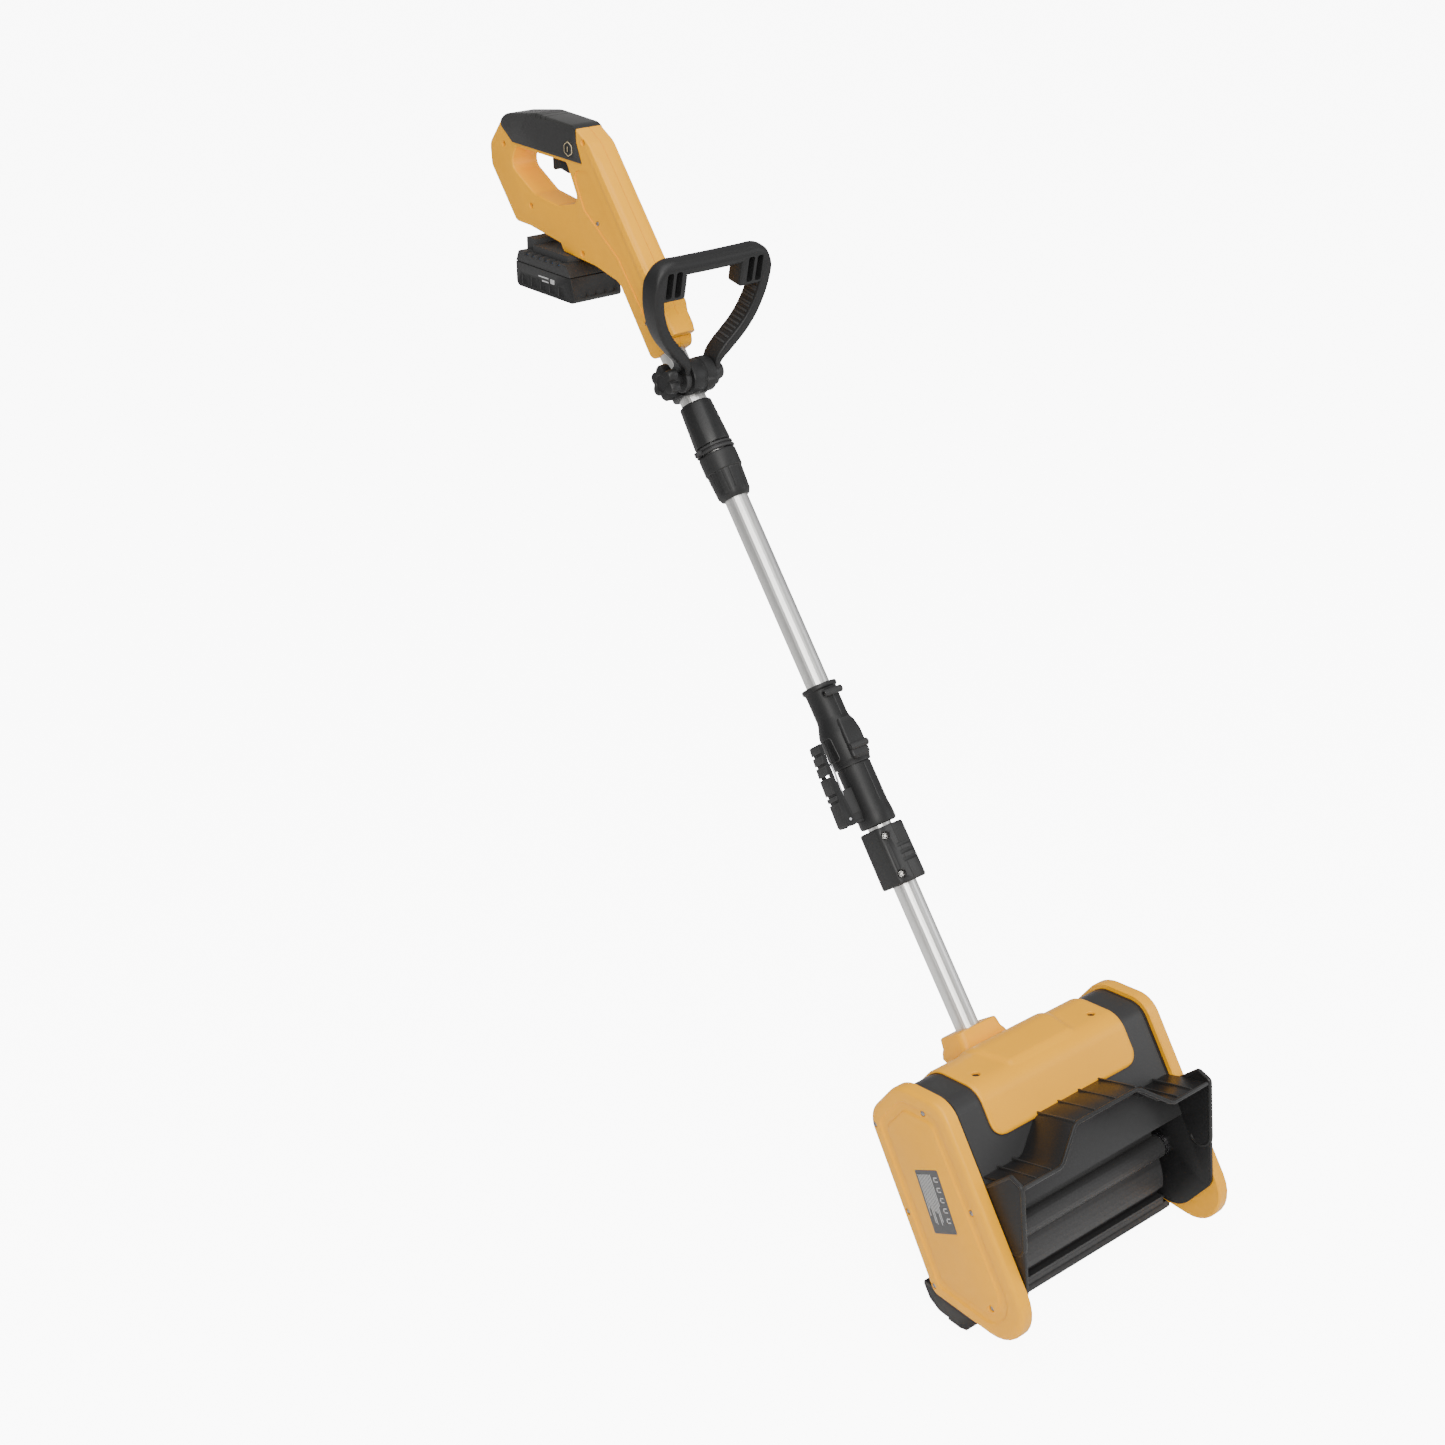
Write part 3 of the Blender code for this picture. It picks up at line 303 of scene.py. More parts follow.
class Nodes:
    """Short names for adding and joining nodes in a tree."""

    def __init__(self, tree):
        self.tree = tree

    def add(self, kind, **settings):
        node = self.tree.nodes.new(kind)
        for key, value in settings.items():
            setattr(node, key, value)
        return node

    def link(self, source, target):
        self.tree.links.new(source, target)

    def math(self, operation, a, b=None, clamp=False):
        node = self.add("ShaderNodeMath", operation=operation, use_clamp=clamp)
        for slot, value in zip(node.inputs, (a, b)):
            if value is None:
                continue
            if isinstance(value, (int, float)):
                slot.default_value = value
            else:
                self.link(value, slot)
        return node.outputs[0]

    def ramp(self, value, low, high):
        node = self.add("ShaderNodeMapRange", interpolation_type="SMOOTHSTEP")
        self.link(value, node.inputs["Value"])
        node.inputs["From Min"].default_value = low
        node.inputs["From Max"].default_value = high
        return node.outputs["Result"]

    def noise(self, vector, scale, detail=3.0, rough=0.5):
        node = self.add("ShaderNodeTexNoise")
        self.link(vector, node.inputs["Vector"])
        node.inputs["Scale"].default_value = scale
        node.inputs["Detail"].default_value = detail
        node.inputs["Roughness"].default_value = rough
        return node.outputs["Fac"]


def effect(name, inputs, outputs):
    tree = bpy.data.node_groups.new(name, "ShaderNodeTree")
    for label, kind, value in inputs:
        socket = tree.interface.new_socket(label, in_out="INPUT", socket_type=kind)
        socket.default_value = value
    for label, kind in outputs:
        tree.interface.new_socket(label, in_out="OUTPUT", socket_type=kind)
    nodes = Nodes(tree)
    return nodes, nodes.add("NodeGroupInput").outputs, nodes.add("NodeGroupOutput").inputs


def moulded_finish():
    """Moulded plastic: fine grain, slow shade changes, light scuffs, and paler edges that are
    partly wear and partly a painted edge highlight.
    """
    nodes, given, made = effect(
        "moulded_finish",
        [("Colour", "NodeSocketColor", (0.5, 0.5, 0.5, 1)), ("Roughness", "NodeSocketFloat", 0.4),
         ("Grain", "NodeSocketFloat", 900.0), ("Relief", "NodeSocketFloat", 0.1),
         ("Wear_and_highlight", "NodeSocketFloat", 0.3)],
        [("Colour", "NodeSocketColor"), ("Roughness", "NodeSocketFloat"),
         ("Normal", "NodeSocketVector")])
    place = nodes.add("ShaderNodeTexCoord").outputs["Object"]
    fine = nodes.add("ShaderNodeTexNoise")
    nodes.link(place, fine.inputs["Vector"])
    nodes.link(given["Grain"], fine.inputs["Scale"])
    fine.inputs["Detail"].default_value = 2.0
    bump = nodes.add("ShaderNodeBump")
    nodes.link(given["Relief"], bump.inputs["Strength"])
    bump.inputs["Distance"].default_value = 0.0004
    nodes.link(fine.outputs["Fac"], bump.inputs["Height"])
    nodes.link(bump.outputs["Normal"], made["Normal"])
    slow = nodes.noise(place, 14.0, 4.0)
    stretched = nodes.add("ShaderNodeMapping")
    nodes.link(place, stretched.inputs["Vector"])
    stretched.inputs["Rotation"].default_value = (0.3, 0.7, 0.2)
    stretched.inputs["Scale"].default_value = (1.0, 9.0, 9.0)
    scuff = nodes.ramp(nodes.noise(stretched.outputs["Vector"], 42.0, 6.0, 0.62), 0.60, 0.78)
    # Pointiness makes every edge paler: partly wear, partly a painted edge highlight. The stretched
    # scuffs are wear.
    edge = nodes.add("ShaderNodeNewGeometry").outputs["Pointiness"]
    edge_wear_and_highlight = nodes.math("MULTIPLY", nodes.ramp(edge, 0.515, 0.60), given["Wear_and_highlight"])
    marks = nodes.math("MULTIPLY", scuff, nodes.math("MULTIPLY", given["Wear_and_highlight"], 0.25))
    light = nodes.math("ADD", edge_wear_and_highlight, marks, clamp=True)
    tint = nodes.add("ShaderNodeHueSaturation")
    nodes.link(given["Colour"], tint.inputs["Color"])
    nodes.link(nodes.math("ADD", 0.94, nodes.math("MULTIPLY", slow, 0.12)),
               tint.inputs["Value"])
    lifted = nodes.add("ShaderNodeMix", data_type="RGBA", blend_type="SCREEN")
    nodes.link(nodes.math("MULTIPLY", light, 0.35), lifted.inputs["Factor"])
    nodes.link(tint.outputs["Color"], lifted.inputs["A"])
    lifted.inputs["B"].default_value = (0.20, 0.20, 0.20, 1)
    nodes.link(lifted.outputs["Result"], made["Colour"])
    rough = nodes.math("ADD", given["Roughness"],
                       nodes.math("MULTIPLY", nodes.math("SUBTRACT", slow, 0.5), 0.16))
    nodes.link(nodes.math("ADD", rough, nodes.math("MULTIPLY", marks, 0.5), clamp=True),
               made["Roughness"])
    return nodes.tree


def drawn_finish():
    """Drawn metal tube: fine streaks along the pole, over a soft satin."""
    nodes, given, made = effect(
        "drawn_finish",
        [("Colour", "NodeSocketColor", (0.8, 0.8, 0.8, 1)), ("Roughness", "NodeSocketFloat", 0.35),
         ("Tilt", "NodeSocketFloat", 0.0), ("Relief", "NodeSocketFloat", 0.1)],
        [("Colour", "NodeSocketColor"), ("Roughness", "NodeSocketFloat"),
         ("Normal", "NodeSocketVector")])
    place = nodes.add("ShaderNodeTexCoord").outputs["Object"]
    turn = nodes.add("ShaderNodeVectorRotate", rotation_type="X_AXIS")
    nodes.link(place, turn.inputs["Vector"])
    nodes.link(given["Tilt"], turn.inputs["Angle"])
    long = nodes.add("ShaderNodeMapping")
    nodes.link(turn.outputs["Vector"], long.inputs["Vector"])
    long.inputs["Scale"].default_value = (1.0, 1.0, 0.012)
    streak = nodes.noise(long.outputs["Vector"], 1400.0, 4.0, 0.6)
    cloud = nodes.noise(place, 25.0, 4.0)
    bump = nodes.add("ShaderNodeBump")
    nodes.link(given["Relief"], bump.inputs["Strength"])
    bump.inputs["Distance"].default_value = 0.0002
    nodes.link(streak, bump.inputs["Height"])
    nodes.link(bump.outputs["Normal"], made["Normal"])
    tint = nodes.add("ShaderNodeHueSaturation")
    nodes.link(given["Colour"], tint.inputs["Color"])
    shift = nodes.math("ADD", nodes.math("MULTIPLY", streak, 0.10),
                       nodes.math("MULTIPLY", cloud, 0.06))
    nodes.link(nodes.math("ADD", 0.92, shift), tint.inputs["Value"])
    nodes.link(tint.outputs["Color"], made["Colour"])
    rough = nodes.math("ADD", given["Roughness"],
                       nodes.math("MULTIPLY", nodes.math("SUBTRACT", streak, 0.5), 0.18))
    nodes.link(nodes.math("ADD", rough, nodes.math("MULTIPLY", cloud, 0.05), clamp=True),
               made["Roughness"])
    return nodes.tree


MOULDED = moulded_finish()
DRAWN = drawn_finish()


def material(name, tree, colour, settings, metallic=0.0, coat=0.0, sheen=0.0):
    made = bpy.data.materials.new(name)
    made.use_nodes = True
    nodes = Nodes(made.node_tree)
    shader = made.node_tree.nodes["Principled BSDF"]
    finish = nodes.add("ShaderNodeGroup", node_tree=tree)
    finish.inputs["Colour"].default_value = (*colour, 1)
    for key, value in settings.items():
        finish.inputs[key].default_value = value
    nodes.link(finish.outputs["Colour"], shader.inputs["Base Color"])
    nodes.link(finish.outputs["Roughness"], shader.inputs["Roughness"])
    nodes.link(finish.outputs["Normal"], shader.inputs["Normal"])
    shader.inputs["Metallic"].default_value = metallic
    shader.inputs["Coat Weight"].default_value = coat
    shader.inputs["Coat Roughness"].default_value = 0.25
    shader.inputs["Sheen Weight"].default_value = sheen
    shader.inputs["Specular IOR Level"].default_value = 0.5 if metallic else 0.3
    return made


# The fifth setting scales the scuffs and the paler edges. The paler edges are partly wear and
# partly a painted edge highlight.
def plastic(name, colour, rough, grain, relief, wear_and_highlight=0.3, coat=0.0, sheen=0.0):
    return material(name, MOULDED, colour,
                    {"Roughness": rough, "Grain": grain, "Relief": relief, "Wear_and_highlight": wear_and_highlight},
                    coat=coat, sheen=sheen)


def metal(name, colour, rough, tilt=0.0, relief=0.1):
    return material(name, DRAWN, colour, {"Roughness": rough, "Tilt": tilt, "Relief": relief},
                    metallic=1.0)


YELLOW = plastic("yellow_plastic", (1.0, 0.44, 0.0), 0.36, 1500.0, 0.035, 0.15, 0.04)
BLACK = plastic("black_plastic", (0.010, 0.010, 0.0105), 0.42, 1300.0, 0.10, 0.35, 0.05)
CHARCOAL = plastic("charcoal_plastic", (0.014, 0.014, 0.0145), 0.46, 1100.0, 0.16, 0.40)
RUBBER = plastic("soft_rubber", (0.012, 0.0115, 0.0115), 0.62, 700.0, 0.30, 0.20, sheen=0.15)
PADDLE = plastic("paddle_rubber", (0.018, 0.018, 0.018), 0.70, 500.0, 0.25, 0.25)
SHEATH = plastic("cable_sheath", (0.012, 0.012, 0.012), 0.50, 900.0, 0.10, 0.1)
BOARD = plastic("circuit_board", (0.010, 0.090, 0.035), 0.35, 350.0, 0.20, 0.1)
CELLS = plastic("cell_wrap", (0.03, 0.12, 0.30), 0.32, 300.0, 0.10, 0.1)
CREAM = plastic("cream_print", (0.62, 0.50, 0.30), 0.45, 800.0, 0.05, 0.1)
STEEL = metal("turned_steel", (0.58, 0.58, 0.60), 0.30)
SCREW_STEEL = metal("screw_steel", (0.40, 0.39, 0.37), 0.34, 0.0, 0.2)
ALUMINIUM = metal("satin_aluminium", (0.80, 0.795, 0.775), 0.36,
                  math.radians(90 - POLE_RISE), 0.12)

FINISH_OF_SLOT = {"yellow_shell": YELLOW, "black_shell": CHARCOAL, "soft_grip": RUBBER,
                  "aluminium_tube": ALUMINIUM, "steel_parts": STEEL, "copper_cable": SHEATH,
                  "belt_rubber": PADDLE}
FINISH_OF_NODE = {"control_board": BOARD, "cell_block": CELLS}


def dress_nodes():
    """Each CAD node that stays shown gets its finish and smooth shading."""
    slots = {entry["node"]: entry["material_slot"] for entry in frame["record"]["subparts"]}
    for name, obj in frame["nodes"].items():
        finish = FINISH_OF_NODE.get(name, FINISH_OF_SLOT[slots[name]])
        obj.data.materials.clear()
        obj.data.materials.append(finish)
        shade(obj.data)


# ---------------------------------------------------------------- screws

def screw_shape(radius, slot_depth=0.0013):
    """A pan head with a cross in it, facing up."""
    head = lathe([(0.0, -0.002), (radius, -0.002), (radius, 0.0), (radius * 0.93, 0.0006),
                  (radius * 0.6, 0.0012), (0.0, 0.0014)], 28)
    arm = radius * 0.16
    reach = radius * 0.68
    cross = [box((-reach, -arm, 0.0014 - slot_depth), (reach, arm, 0.004)),
             box((-arm, -reach, 0.0014 - slot_depth), (arm, reach, 0.004))]
    return cut(head, *cross)


def screw_layout():
    """Geometry nodes that put a screw on every point, turned to face the way it says."""
    tree = bpy.data.node_groups.new("screw_layout", "GeometryNodeTree")
    tree.interface.new_socket("Geometry", in_out="INPUT", socket_type="NodeSocketGeometry")
    tree.interface.new_socket("Screw", in_out="INPUT", socket_type="NodeSocketObject")
    size = tree.interface.new_socket("Size", in_out="INPUT", socket_type="NodeSocketFloat")
    size.default_value = 1.0
    tree.interface.new_socket("Finish", in_out="INPUT", socket_type="NodeSocketMaterial")
    tree.interface.new_socket("Geometry", in_out="OUTPUT", socket_type="NodeSocketGeometry")
    nodes = Nodes(tree)
    given = nodes.add("NodeGroupInput").outputs
    facing = nodes.add("GeometryNodeInputNamedAttribute", data_type="FLOAT_VECTOR")
    facing.inputs["Name"].default_value = "facing"
    aim = nodes.add("FunctionNodeAlignRotationToVector", axis="Z")
    nodes.link(facing.outputs["Attribute"], aim.inputs["Vector"])
    twist = nodes.add("FunctionNodeRandomValue", data_type="FLOAT")
    twist.inputs["Max"].default_value = math.pi / 2
    twist.inputs["Seed"].default_value = 5
    spin = nodes.add("FunctionNodeAxisAngleToRotation")
    spin.inputs["Axis"].default_value = (0, 0, 1)
    nodes.link(twist.outputs["Value"], spin.inputs["Angle"])
    both = nodes.add("FunctionNodeRotateRotation", rotation_space="LOCAL")
    nodes.link(aim.outputs["Rotation"], both.inputs["Rotation"])
    nodes.link(spin.outputs["Rotation"], both.inputs["Rotate By"])
    source = nodes.add("GeometryNodeObjectInfo")
    nodes.link(given["Screw"], source.inputs["Object"])
    placed = nodes.add("GeometryNodeInstanceOnPoints")
    nodes.link(given["Geometry"], placed.inputs["Points"])
    nodes.link(source.outputs["Geometry"], placed.inputs["Instance"])
    nodes.link(both.outputs["Rotation"], placed.inputs["Rotation"])
    nodes.link(given["Size"], placed.inputs["Scale"])
    real = nodes.add("GeometryNodeRealizeInstances")
    nodes.link(placed.outputs["Instances"], real.inputs["Geometry"])
    finish = nodes.add("GeometryNodeSetMaterial")
    nodes.link(real.outputs["Geometry"], finish.inputs["Geometry"])
    nodes.link(given["Finish"], finish.inputs["Material"])
    nodes.link(finish.outputs["Geometry"], nodes.add("NodeGroupOutput").inputs["Geometry"])
    return tree


def set_input(modifier, label, value):
    for item in modifier.node_group.interface.items_tree:
        if item.item_type == "SOCKET" and item.in_out == "INPUT" and item.name == label:
            modifier[item.identifier] = value


SCREW = bpy.data.objects.new("screw_pattern", screw_shape(0.0030))
SCREW_LAYOUT = screw_layout()


def screws(name, places, body, size=1.0):
    """places: (point, direction the head faces) pairs, in world coordinates."""
    mesh = bpy.data.meshes.new(name)
    mesh.from_pydata([tuple(point) for point, _ in places], [], [])
    facing = mesh.attributes.new("facing", "FLOAT_VECTOR", "POINT")
    facing.data.foreach_set("vector", [c for _, way in places for c in Vector(way).normalized()])
    points = loose(mesh)
    layout = points.modifiers.new("layout", "NODES")
    layout.node_group = SCREW_LAYOUT
    set_input(layout, "Screw", SCREW)
    set_input(layout, "Size", size)
    set_input(layout, "Finish", SCREW_STEEL)
    made = evaluated(points)
    bpy.data.objects.remove(points)
    return part(name, made, SCREW_STEEL, body)


def aimed(point, way):
    """A frame at a point whose Z looks along a direction."""
    turn = Vector((0, 0, 1)).rotation_difference(Vector(way).normalized())
    return Matrix.Translation(point) @ turn.to_matrix().to_4x4()


def recess(point, way, radius=0.0042, depth=0.0030):
    """A cutter for a screw's countersunk pocket."""
    return lathe([(radius * 0.86, -depth), (radius * 0.9, -0.0006), (radius * 1.08, 0.0002),
                  (radius * 1.1, 0.006)], 28, aimed(point, way))


# ---------------------------------------------------------------- head

COVER_SCREWS = ((0.055, 0.249), (0.125, 0.196), (0.069, 0.113), (-0.022, 0.166),
                (0.025, 0.040), (-0.060, 0.065))


def build_side_cover(side, sign):
    """A yellow side cover with a rolled edge, a sunk channel and a raised middle panel."""
    def ring(depth, x):
        return [(sign * x, a, b) for a, b in rounded(inset(RIM, depth, 0.010), 10)]

    roll = 0.0065
    rows = [(0.0015, COVER_NEAR), (0.0, COVER_NEAR + 0.0015)]
    for k in range(7):
        t = math.radians(15 * k)
        rows.append((roll * (1 - math.cos(t)), COVER_FACE - roll * 0.8 + roll * 0.8 * math.sin(t)))
    rows += [(0.0140, COVER_FACE + 0.0006), (0.0152, COVER_FACE + 0.0004),
             (0.0164, COVER_FACE - 0.0009), (0.0176, COVER_FACE - 0.0013),
             (0.0246, COVER_FACE - 0.0013), (0.0258, COVER_FACE - 0.0009),
             (0.0272, COVER_FACE + 0.0006), (0.0286, COVER_FACE + 0.0010)]
    shell = loft([ring(*row) for row in rows])
    way = Vector((sign, 0, 0))
    face = sign * (COVER_FACE + 0.0004)
    seats = [Vector((face, y, z)) for y, z in COVER_SCREWS]
    shell = cut(shell, *[recess(p, way) for p in seats])
    part(side + "_side_cover_shell", shell, YELLOW, "head", [side + "_side_cover"], 30)
    screws(side + "_cover_screws", [(p - way * 0.0022, way) for p in seats], "head")


def build_housing():
    """The black housing: its chamber round the rotor and the motor space over it."""
    outer = inset(RIM, SKIN_INSET)
    start = Vector(outer[3][:2])
    along = (Vector(outer[4][:2]) - start).normalized()

    def meets(corners, index, sign, radius):
        a = Vector(corners[index][:2])
        step = (Vector(corners[(index + 1) % len(corners)][:2]) - a).normalized()
        offset = a - Vector(ROTOR_AT)
        half = offset.dot(step)
        root = math.sqrt(max(half * half - offset.length_squared + radius * radius, 0.0))
        return a + step * (-half + sign * root)

    face_end = meets(outer, 3, -1, CHAMBER_R)
    begin = math.degrees(math.atan2(face_end.y - ROTOR_AT[1], face_end.x - ROTOR_AT[0]))
    lip_y = SCRAPER[0][0]
    lip = -90 - math.degrees(math.asin((ROTOR_AT[0] - lip_y) / CHAMBER_R))
    skin = rounded([(lip_y, outer[0][1], 0.0), *outer[:4], (*face_end, 0.0)], 12)
    skin += arc(ROTOR_AT, CHAMBER_R, begin, lip, 60)[1:]
    shell = prism(skin, -MOUTH_HALF, MOUTH_HALF)
    bore = lathe([(TUBE_R + TUBE_GAP, -0.150), (TUBE_R + TUBE_GAP, 0.0)], 40, POLE)
    shell = cut(shell, bore)
    part("rotor_housing_shell", shell, BLACK, "head", ["rotor_housing"], 25)
    return start, along


def top_path(depth, steps=150):
    """Points, with their outward directions, from the top cover's front edge to its back."""
    line = rounded(inset(RIM, depth), 24)
    closed = line + line[:1]
    points = []
    for a, b in zip(closed, closed[1:]):
        a, b = Vector(a), Vector(b)
        pieces = max(int((b - a).length / 0.002), 1)
        points += [a + (b - a) * i / pieces for i in range(pieces)]
    back = max(range(len(points)), key=lambda i: points[i].x - 2 * abs(points[i].y - 0.208))
    order = points[back:] + points[:back]
    kept = []
    for point in order:
        kept.append(point)
        if point.x < 0.030 and point.y < 0.2245:
            break
    kept = kept[::-1]
    lengths = [0.0]
    for a, b in zip(kept, kept[1:]):
        lengths.append(lengths[-1] + (b - a).length)
    made = []
    j = 0
    for i in range(steps + 1):
        goal = lengths[-1] * i / steps
        while j < len(lengths) - 2 and lengths[j + 1] < goal:
            j += 1
        span = max(lengths[j + 1] - lengths[j], 1e-9)
        point = kept[j].lerp(kept[j + 1], (goal - lengths[j]) / span)
        slope = (kept[min(j + 3, len(kept) - 1)] - kept[max(j - 2, 0)]).normalized()
        made.append((point, Vector((-slope.y, slope.x)), goal))
    return made, lengths[-1]


def build_top_cover():
    """The yellow cover over the housing: round corners, a raised pad and the pole's neck."""
    path, total = top_path(SKIN_INSET - 0.0034)
    corner = 0.016
    columns = 80
    outer, inner = [], []
    for point, way, far in path:
        near_end = min(far, total - far)
        pull = 0.0
        if near_end < corner:
            pull = corner - math.sqrt(max(corner ** 2 - (corner - near_end) ** 2, 0.0))
        half = TOP_HALF - pull
        row_out, row_in = [], []
        for k in range(columns + 1):
            x = half * (2 * k / columns - 1)
            edge = min(half - abs(x), near_end)
            drop = 0.0012 * (1 - smooth(edge, 0.0, 0.0022))
            wide = 0.060 - 0.010 * smooth(point.x, 0.10, 0.03)
            pad = (1 - smooth(abs(x), wide - 0.006, wide + 0.003))
            pad *= smooth(far, 0.058, 0.070) * (1 - smooth(far, total - 0.040, total - 0.028))
            top = point + way * (-drop + 0.0030 * pad)
            row_out.append((x, top.x, top.y))
            base = point - way * 0.0030
            row_in.append((x, base.x, base.y))
        outer.append(row_out)
        inner.append(row_in)
    rings = [row_out + row_in[::-1] for row_out, row_in in zip(outer, inner)]
    sheet = loft(rings)
    seats = []
    for x in (-0.090, 0.090):
        near = min(path, key=lambda entry: (entry[0] - Vector((0.053, 0.266))).length)
        seats.append((Vector((x, near[0].x, near[0].y)), Vector((0, near[1].x, near[1].y))))
    pockets = [lathe([(0.0044, -0.006), (0.0046, -0.0008), (0.0058, 0.0006), (0.006, 0.01)],
                     32, aimed(p, way)) for p, way in seats]
    sheet = cut(sheet, *pockets)
    rows = [(-0.112, 0.0300, 0.0210), (-0.090, 0.0320, 0.0225), (-0.080, 0.0350, 0.0250),
            (-0.074, 0.0335, 0.0235), (-0.070, 0.0315, 0.0220), (-0.0600, 0.0302, 0.0212),
            (-0.0585, 0.0296, 0.0206), (-0.0578, 0.0284, 0.0196)]
    neck = loft([[(x, y, s) for x, y in round_box(a, b, 0.008, 6)] for s, a, b in rows], POLE)
    bore = lathe([(TUBE_R + 0.0004, -0.1083), (TUBE_R + 0.0004, -0.0590),
                  (TUBE_R + 0.0016, -0.0570), (TUBE_R + 0.0018, 0.0)], 40, POLE)
    inside = prism(rounded(inset(RIM, SKIN_INSET - 0.0003), 10), -0.05, 0.05)
    neck = cut(neck, bore, inside)
    sheet = cut(sheet, bore)
    part("top_cover_shell", merged(sheet, neck), YELLOW, "head", ["top_cover"], 32)
    screws("top_cover_screws", [(p - way * 0.0052, way) for p, way in seats], "head", 1.2)


def build_label():
    """The rating plate on the left cover: a dark plate with plain printed lines and marks."""
    centre = Vector((0.0269, 0.1520))
    down = Vector((-0.037, -0.066)).normalized()
    across = Vector((down.y, -down.x))
    outline = round_box(0.0185, 0.036, 0.002, 5)
    face = -(COVER_FACE + 0.0010)
    place = Matrix(((0, 0, -1, face), (across.x, down.x, 0, centre.x),
                    (across.y, down.y, 0, centre.y), (0, 0, 0, 1)))
    plate = loft([[(a, b, z) for a, b in outline] for z in (-0.0004, 0.0003)], place)
    part("rating_plate", plate, plastic("plate_grey", (0.075, 0.075, 0.078), 0.5, 900.0, 0.05),
         "head")
    bars = []
    for row in range(9):
        x = -0.0155 + row * 0.0024
        length = 0.058 * (0.55 + 0.45 * abs(math.sin(row * 2.3 + 0.6)))
        bars.append(box((x, -0.031, 0.0002), (x + 0.0009, -0.031 + length, 0.00045), place))
    for k in range(5):
        y = -0.028 + k * 0.0115
        bars.append(box((0.0085, y, 0.0002), (0.0145, y + 0.0012, 0.00045), place))
        bars.append(box((0.0085, y + 0.0045, 0.0002), (0.0145, y + 0.0057, 0.00045), place))
        bars.append(box((0.0085, y, 0.0002), (0.0097, y + 0.0057, 0.00045), place))
    part("rating_plate_print", merged(*bars),
         plastic("print_white", (0.55, 0.55, 0.55), 0.5, 900.0, 0.02), "head")


def build_cheeks(start, along):
    """The black plates at the mouth's two ends, with a bead along their front edge."""
    rim = inset(RIM, SKIN_INSET)
    root = start + along * ((0.190 - start.y) / along.y)
    forward = [(*root, 0.0005), (-0.057, 0.226, 0.004), (-0.074, 0.221, 0.006),
               (-0.092, 0.091, 0.020), (-0.053, rim[0][1], 0.040)]
    outline = [*rim[:4], *forward]
    for side, sign in (("left", -1), ("right", 1)):
        low, high = sorted((sign * 0.1453, sign * 0.1493))
        plate = prism(rounded(outline, 8), low, high)
        rim_bead = [(sign * 0.1473, a, b) for a, b in
                    rounded([(*root, 0.0005), *inset(outline, 0.001)[5:8]], 8)[5:]]
        plate = cut(plate, lathe([(0.0133, -0.01), (0.0133, 0.01)], 40,
                                 Matrix.Translation((sign * 0.147, *ROTOR_AT)) @ ALONG_X))
        if side == "left":
            plate = cut(plate, lathe([(0.013, -0.01), (0.013, 0.01)], 40,
                                     Matrix.Translation((-0.147, 0.069, 0.211)) @ ALONG_X))
        plate = softened(plate, 0.0009, 2, 50)
        bead = pipe(rim_bead, 0.0026, 10)
        part(side + "_cheek", merged(plate, bead), BLACK, "head", [side + "_cheek_plate"], 30)


def build_hood(start, along):
    """The arched deflector over the mouth, with its ribs and rolled lip."""
    top = start + along * ((0.232 - start.y) / along.y)
    ahead = Vector((along.y, -along.x))
    half = MOUTH_HALF - 0.001
    outline = [(-half, 0.042), (-0.090, 0.042), (-0.084, 0.0395), (-0.052, 0.0125),
               (-0.046, 0.010), (0.046, 0.010), (0.052, 0.0125), (0.084, 0.0395),
               (0.090, 0.042), (half, 0.042)]

    def at(x, depth, reach):
        point = top + along * depth + ahead * reach
        return (x, point.x, point.y)

    rows = [(0.0006, 0.0), (0.018, 0.004), (0.036, 0.009), (0.056, 0.016)]
    sheet_rings = []
    for reach, drop in rows:
        over = [at(x, d + drop - 0.0014, reach) for x, d in outline]
        under = [at(x, d + drop + 0.0014, reach) for x, d in outline[::-1]]
        sheet_rings.append(over + under)
    shapes = [softened(loft(sheet_rings), 0.0006, 2, 30)]
    reach, drop = 0.0565, 0.0162
    lip = [at(x, d + drop, reach) for x, d in outline]
    shapes.append(pipe(lip, 0.0024, 12))
    second = [at(x * 0.985, d + 0.011, 0.040) for x, d in outline]
    shapes.append(pipe(second, 0.0013, 8))

    def rib(x, half_width, depths, reach):
        corners = zip(depths, (0.0012, reach, reach, 0.0012))
        outline = [tuple(top + along * depth + ahead * out) for depth, out in corners]
        return softened(prism(outline, x - half_width, x + half_width), 0.0004, 2)

    for x in (-0.048, -0.016, 0.016, 0.048):
        shapes.append(rib(x, 0.0011, (0.0065, 0.0225, 0.0265, 0.0105), 0.055))
    for sign in (-1, 1):
        for x in (0.100, 0.122):
            shapes.append(rib(sign * x, 0.001, (0.0375, 0.0545, 0.0585, 0.0425), 0.054))
    part("hood_shell", merged(*shapes), BLACK, "head", ["hood"], 32)


def build_scraper():
    """The slotted bar along the ground and the floor of the mouth over it."""
    ends = 0.158
    bar = prism(rounded(SCRAPER, 5), -ends, ends)
    for sign in (-1, 1):
        bar = cut(bar, box((sign * 0.150 - 0.02, 0.009, -0.005),
                           (sign * 0.150 + 0.02, 0.0125, 0.0025)))
    bar = softened(bar, 0.0012, 3, 40)
    lift = box((-MOUTH_HALF, -0.030, 0.027), (MOUTH_HALF, 0.024, 0.0345))
    part("scraper_bar_shell", merged(bar, lift), BLACK, "head", ["scraper_bar"], 30)


# ---------------------------------------------------------------- pole

def facets(radius, sides, s, blunt=0.12, turn=0.0):
    """A ring of a faceted section, with slightly blunted corners."""
    points = []
    for k in range(sides):
        for part_way in (blunt, 0.5, 1 - blunt):
            angle = math.tau * (k + part_way) / sides + turn
            flat = radius / math.cos((part_way - 0.5) * math.tau / sides)
            points.append((flat * math.cos(angle), flat * math.sin(angle), s))
    return points


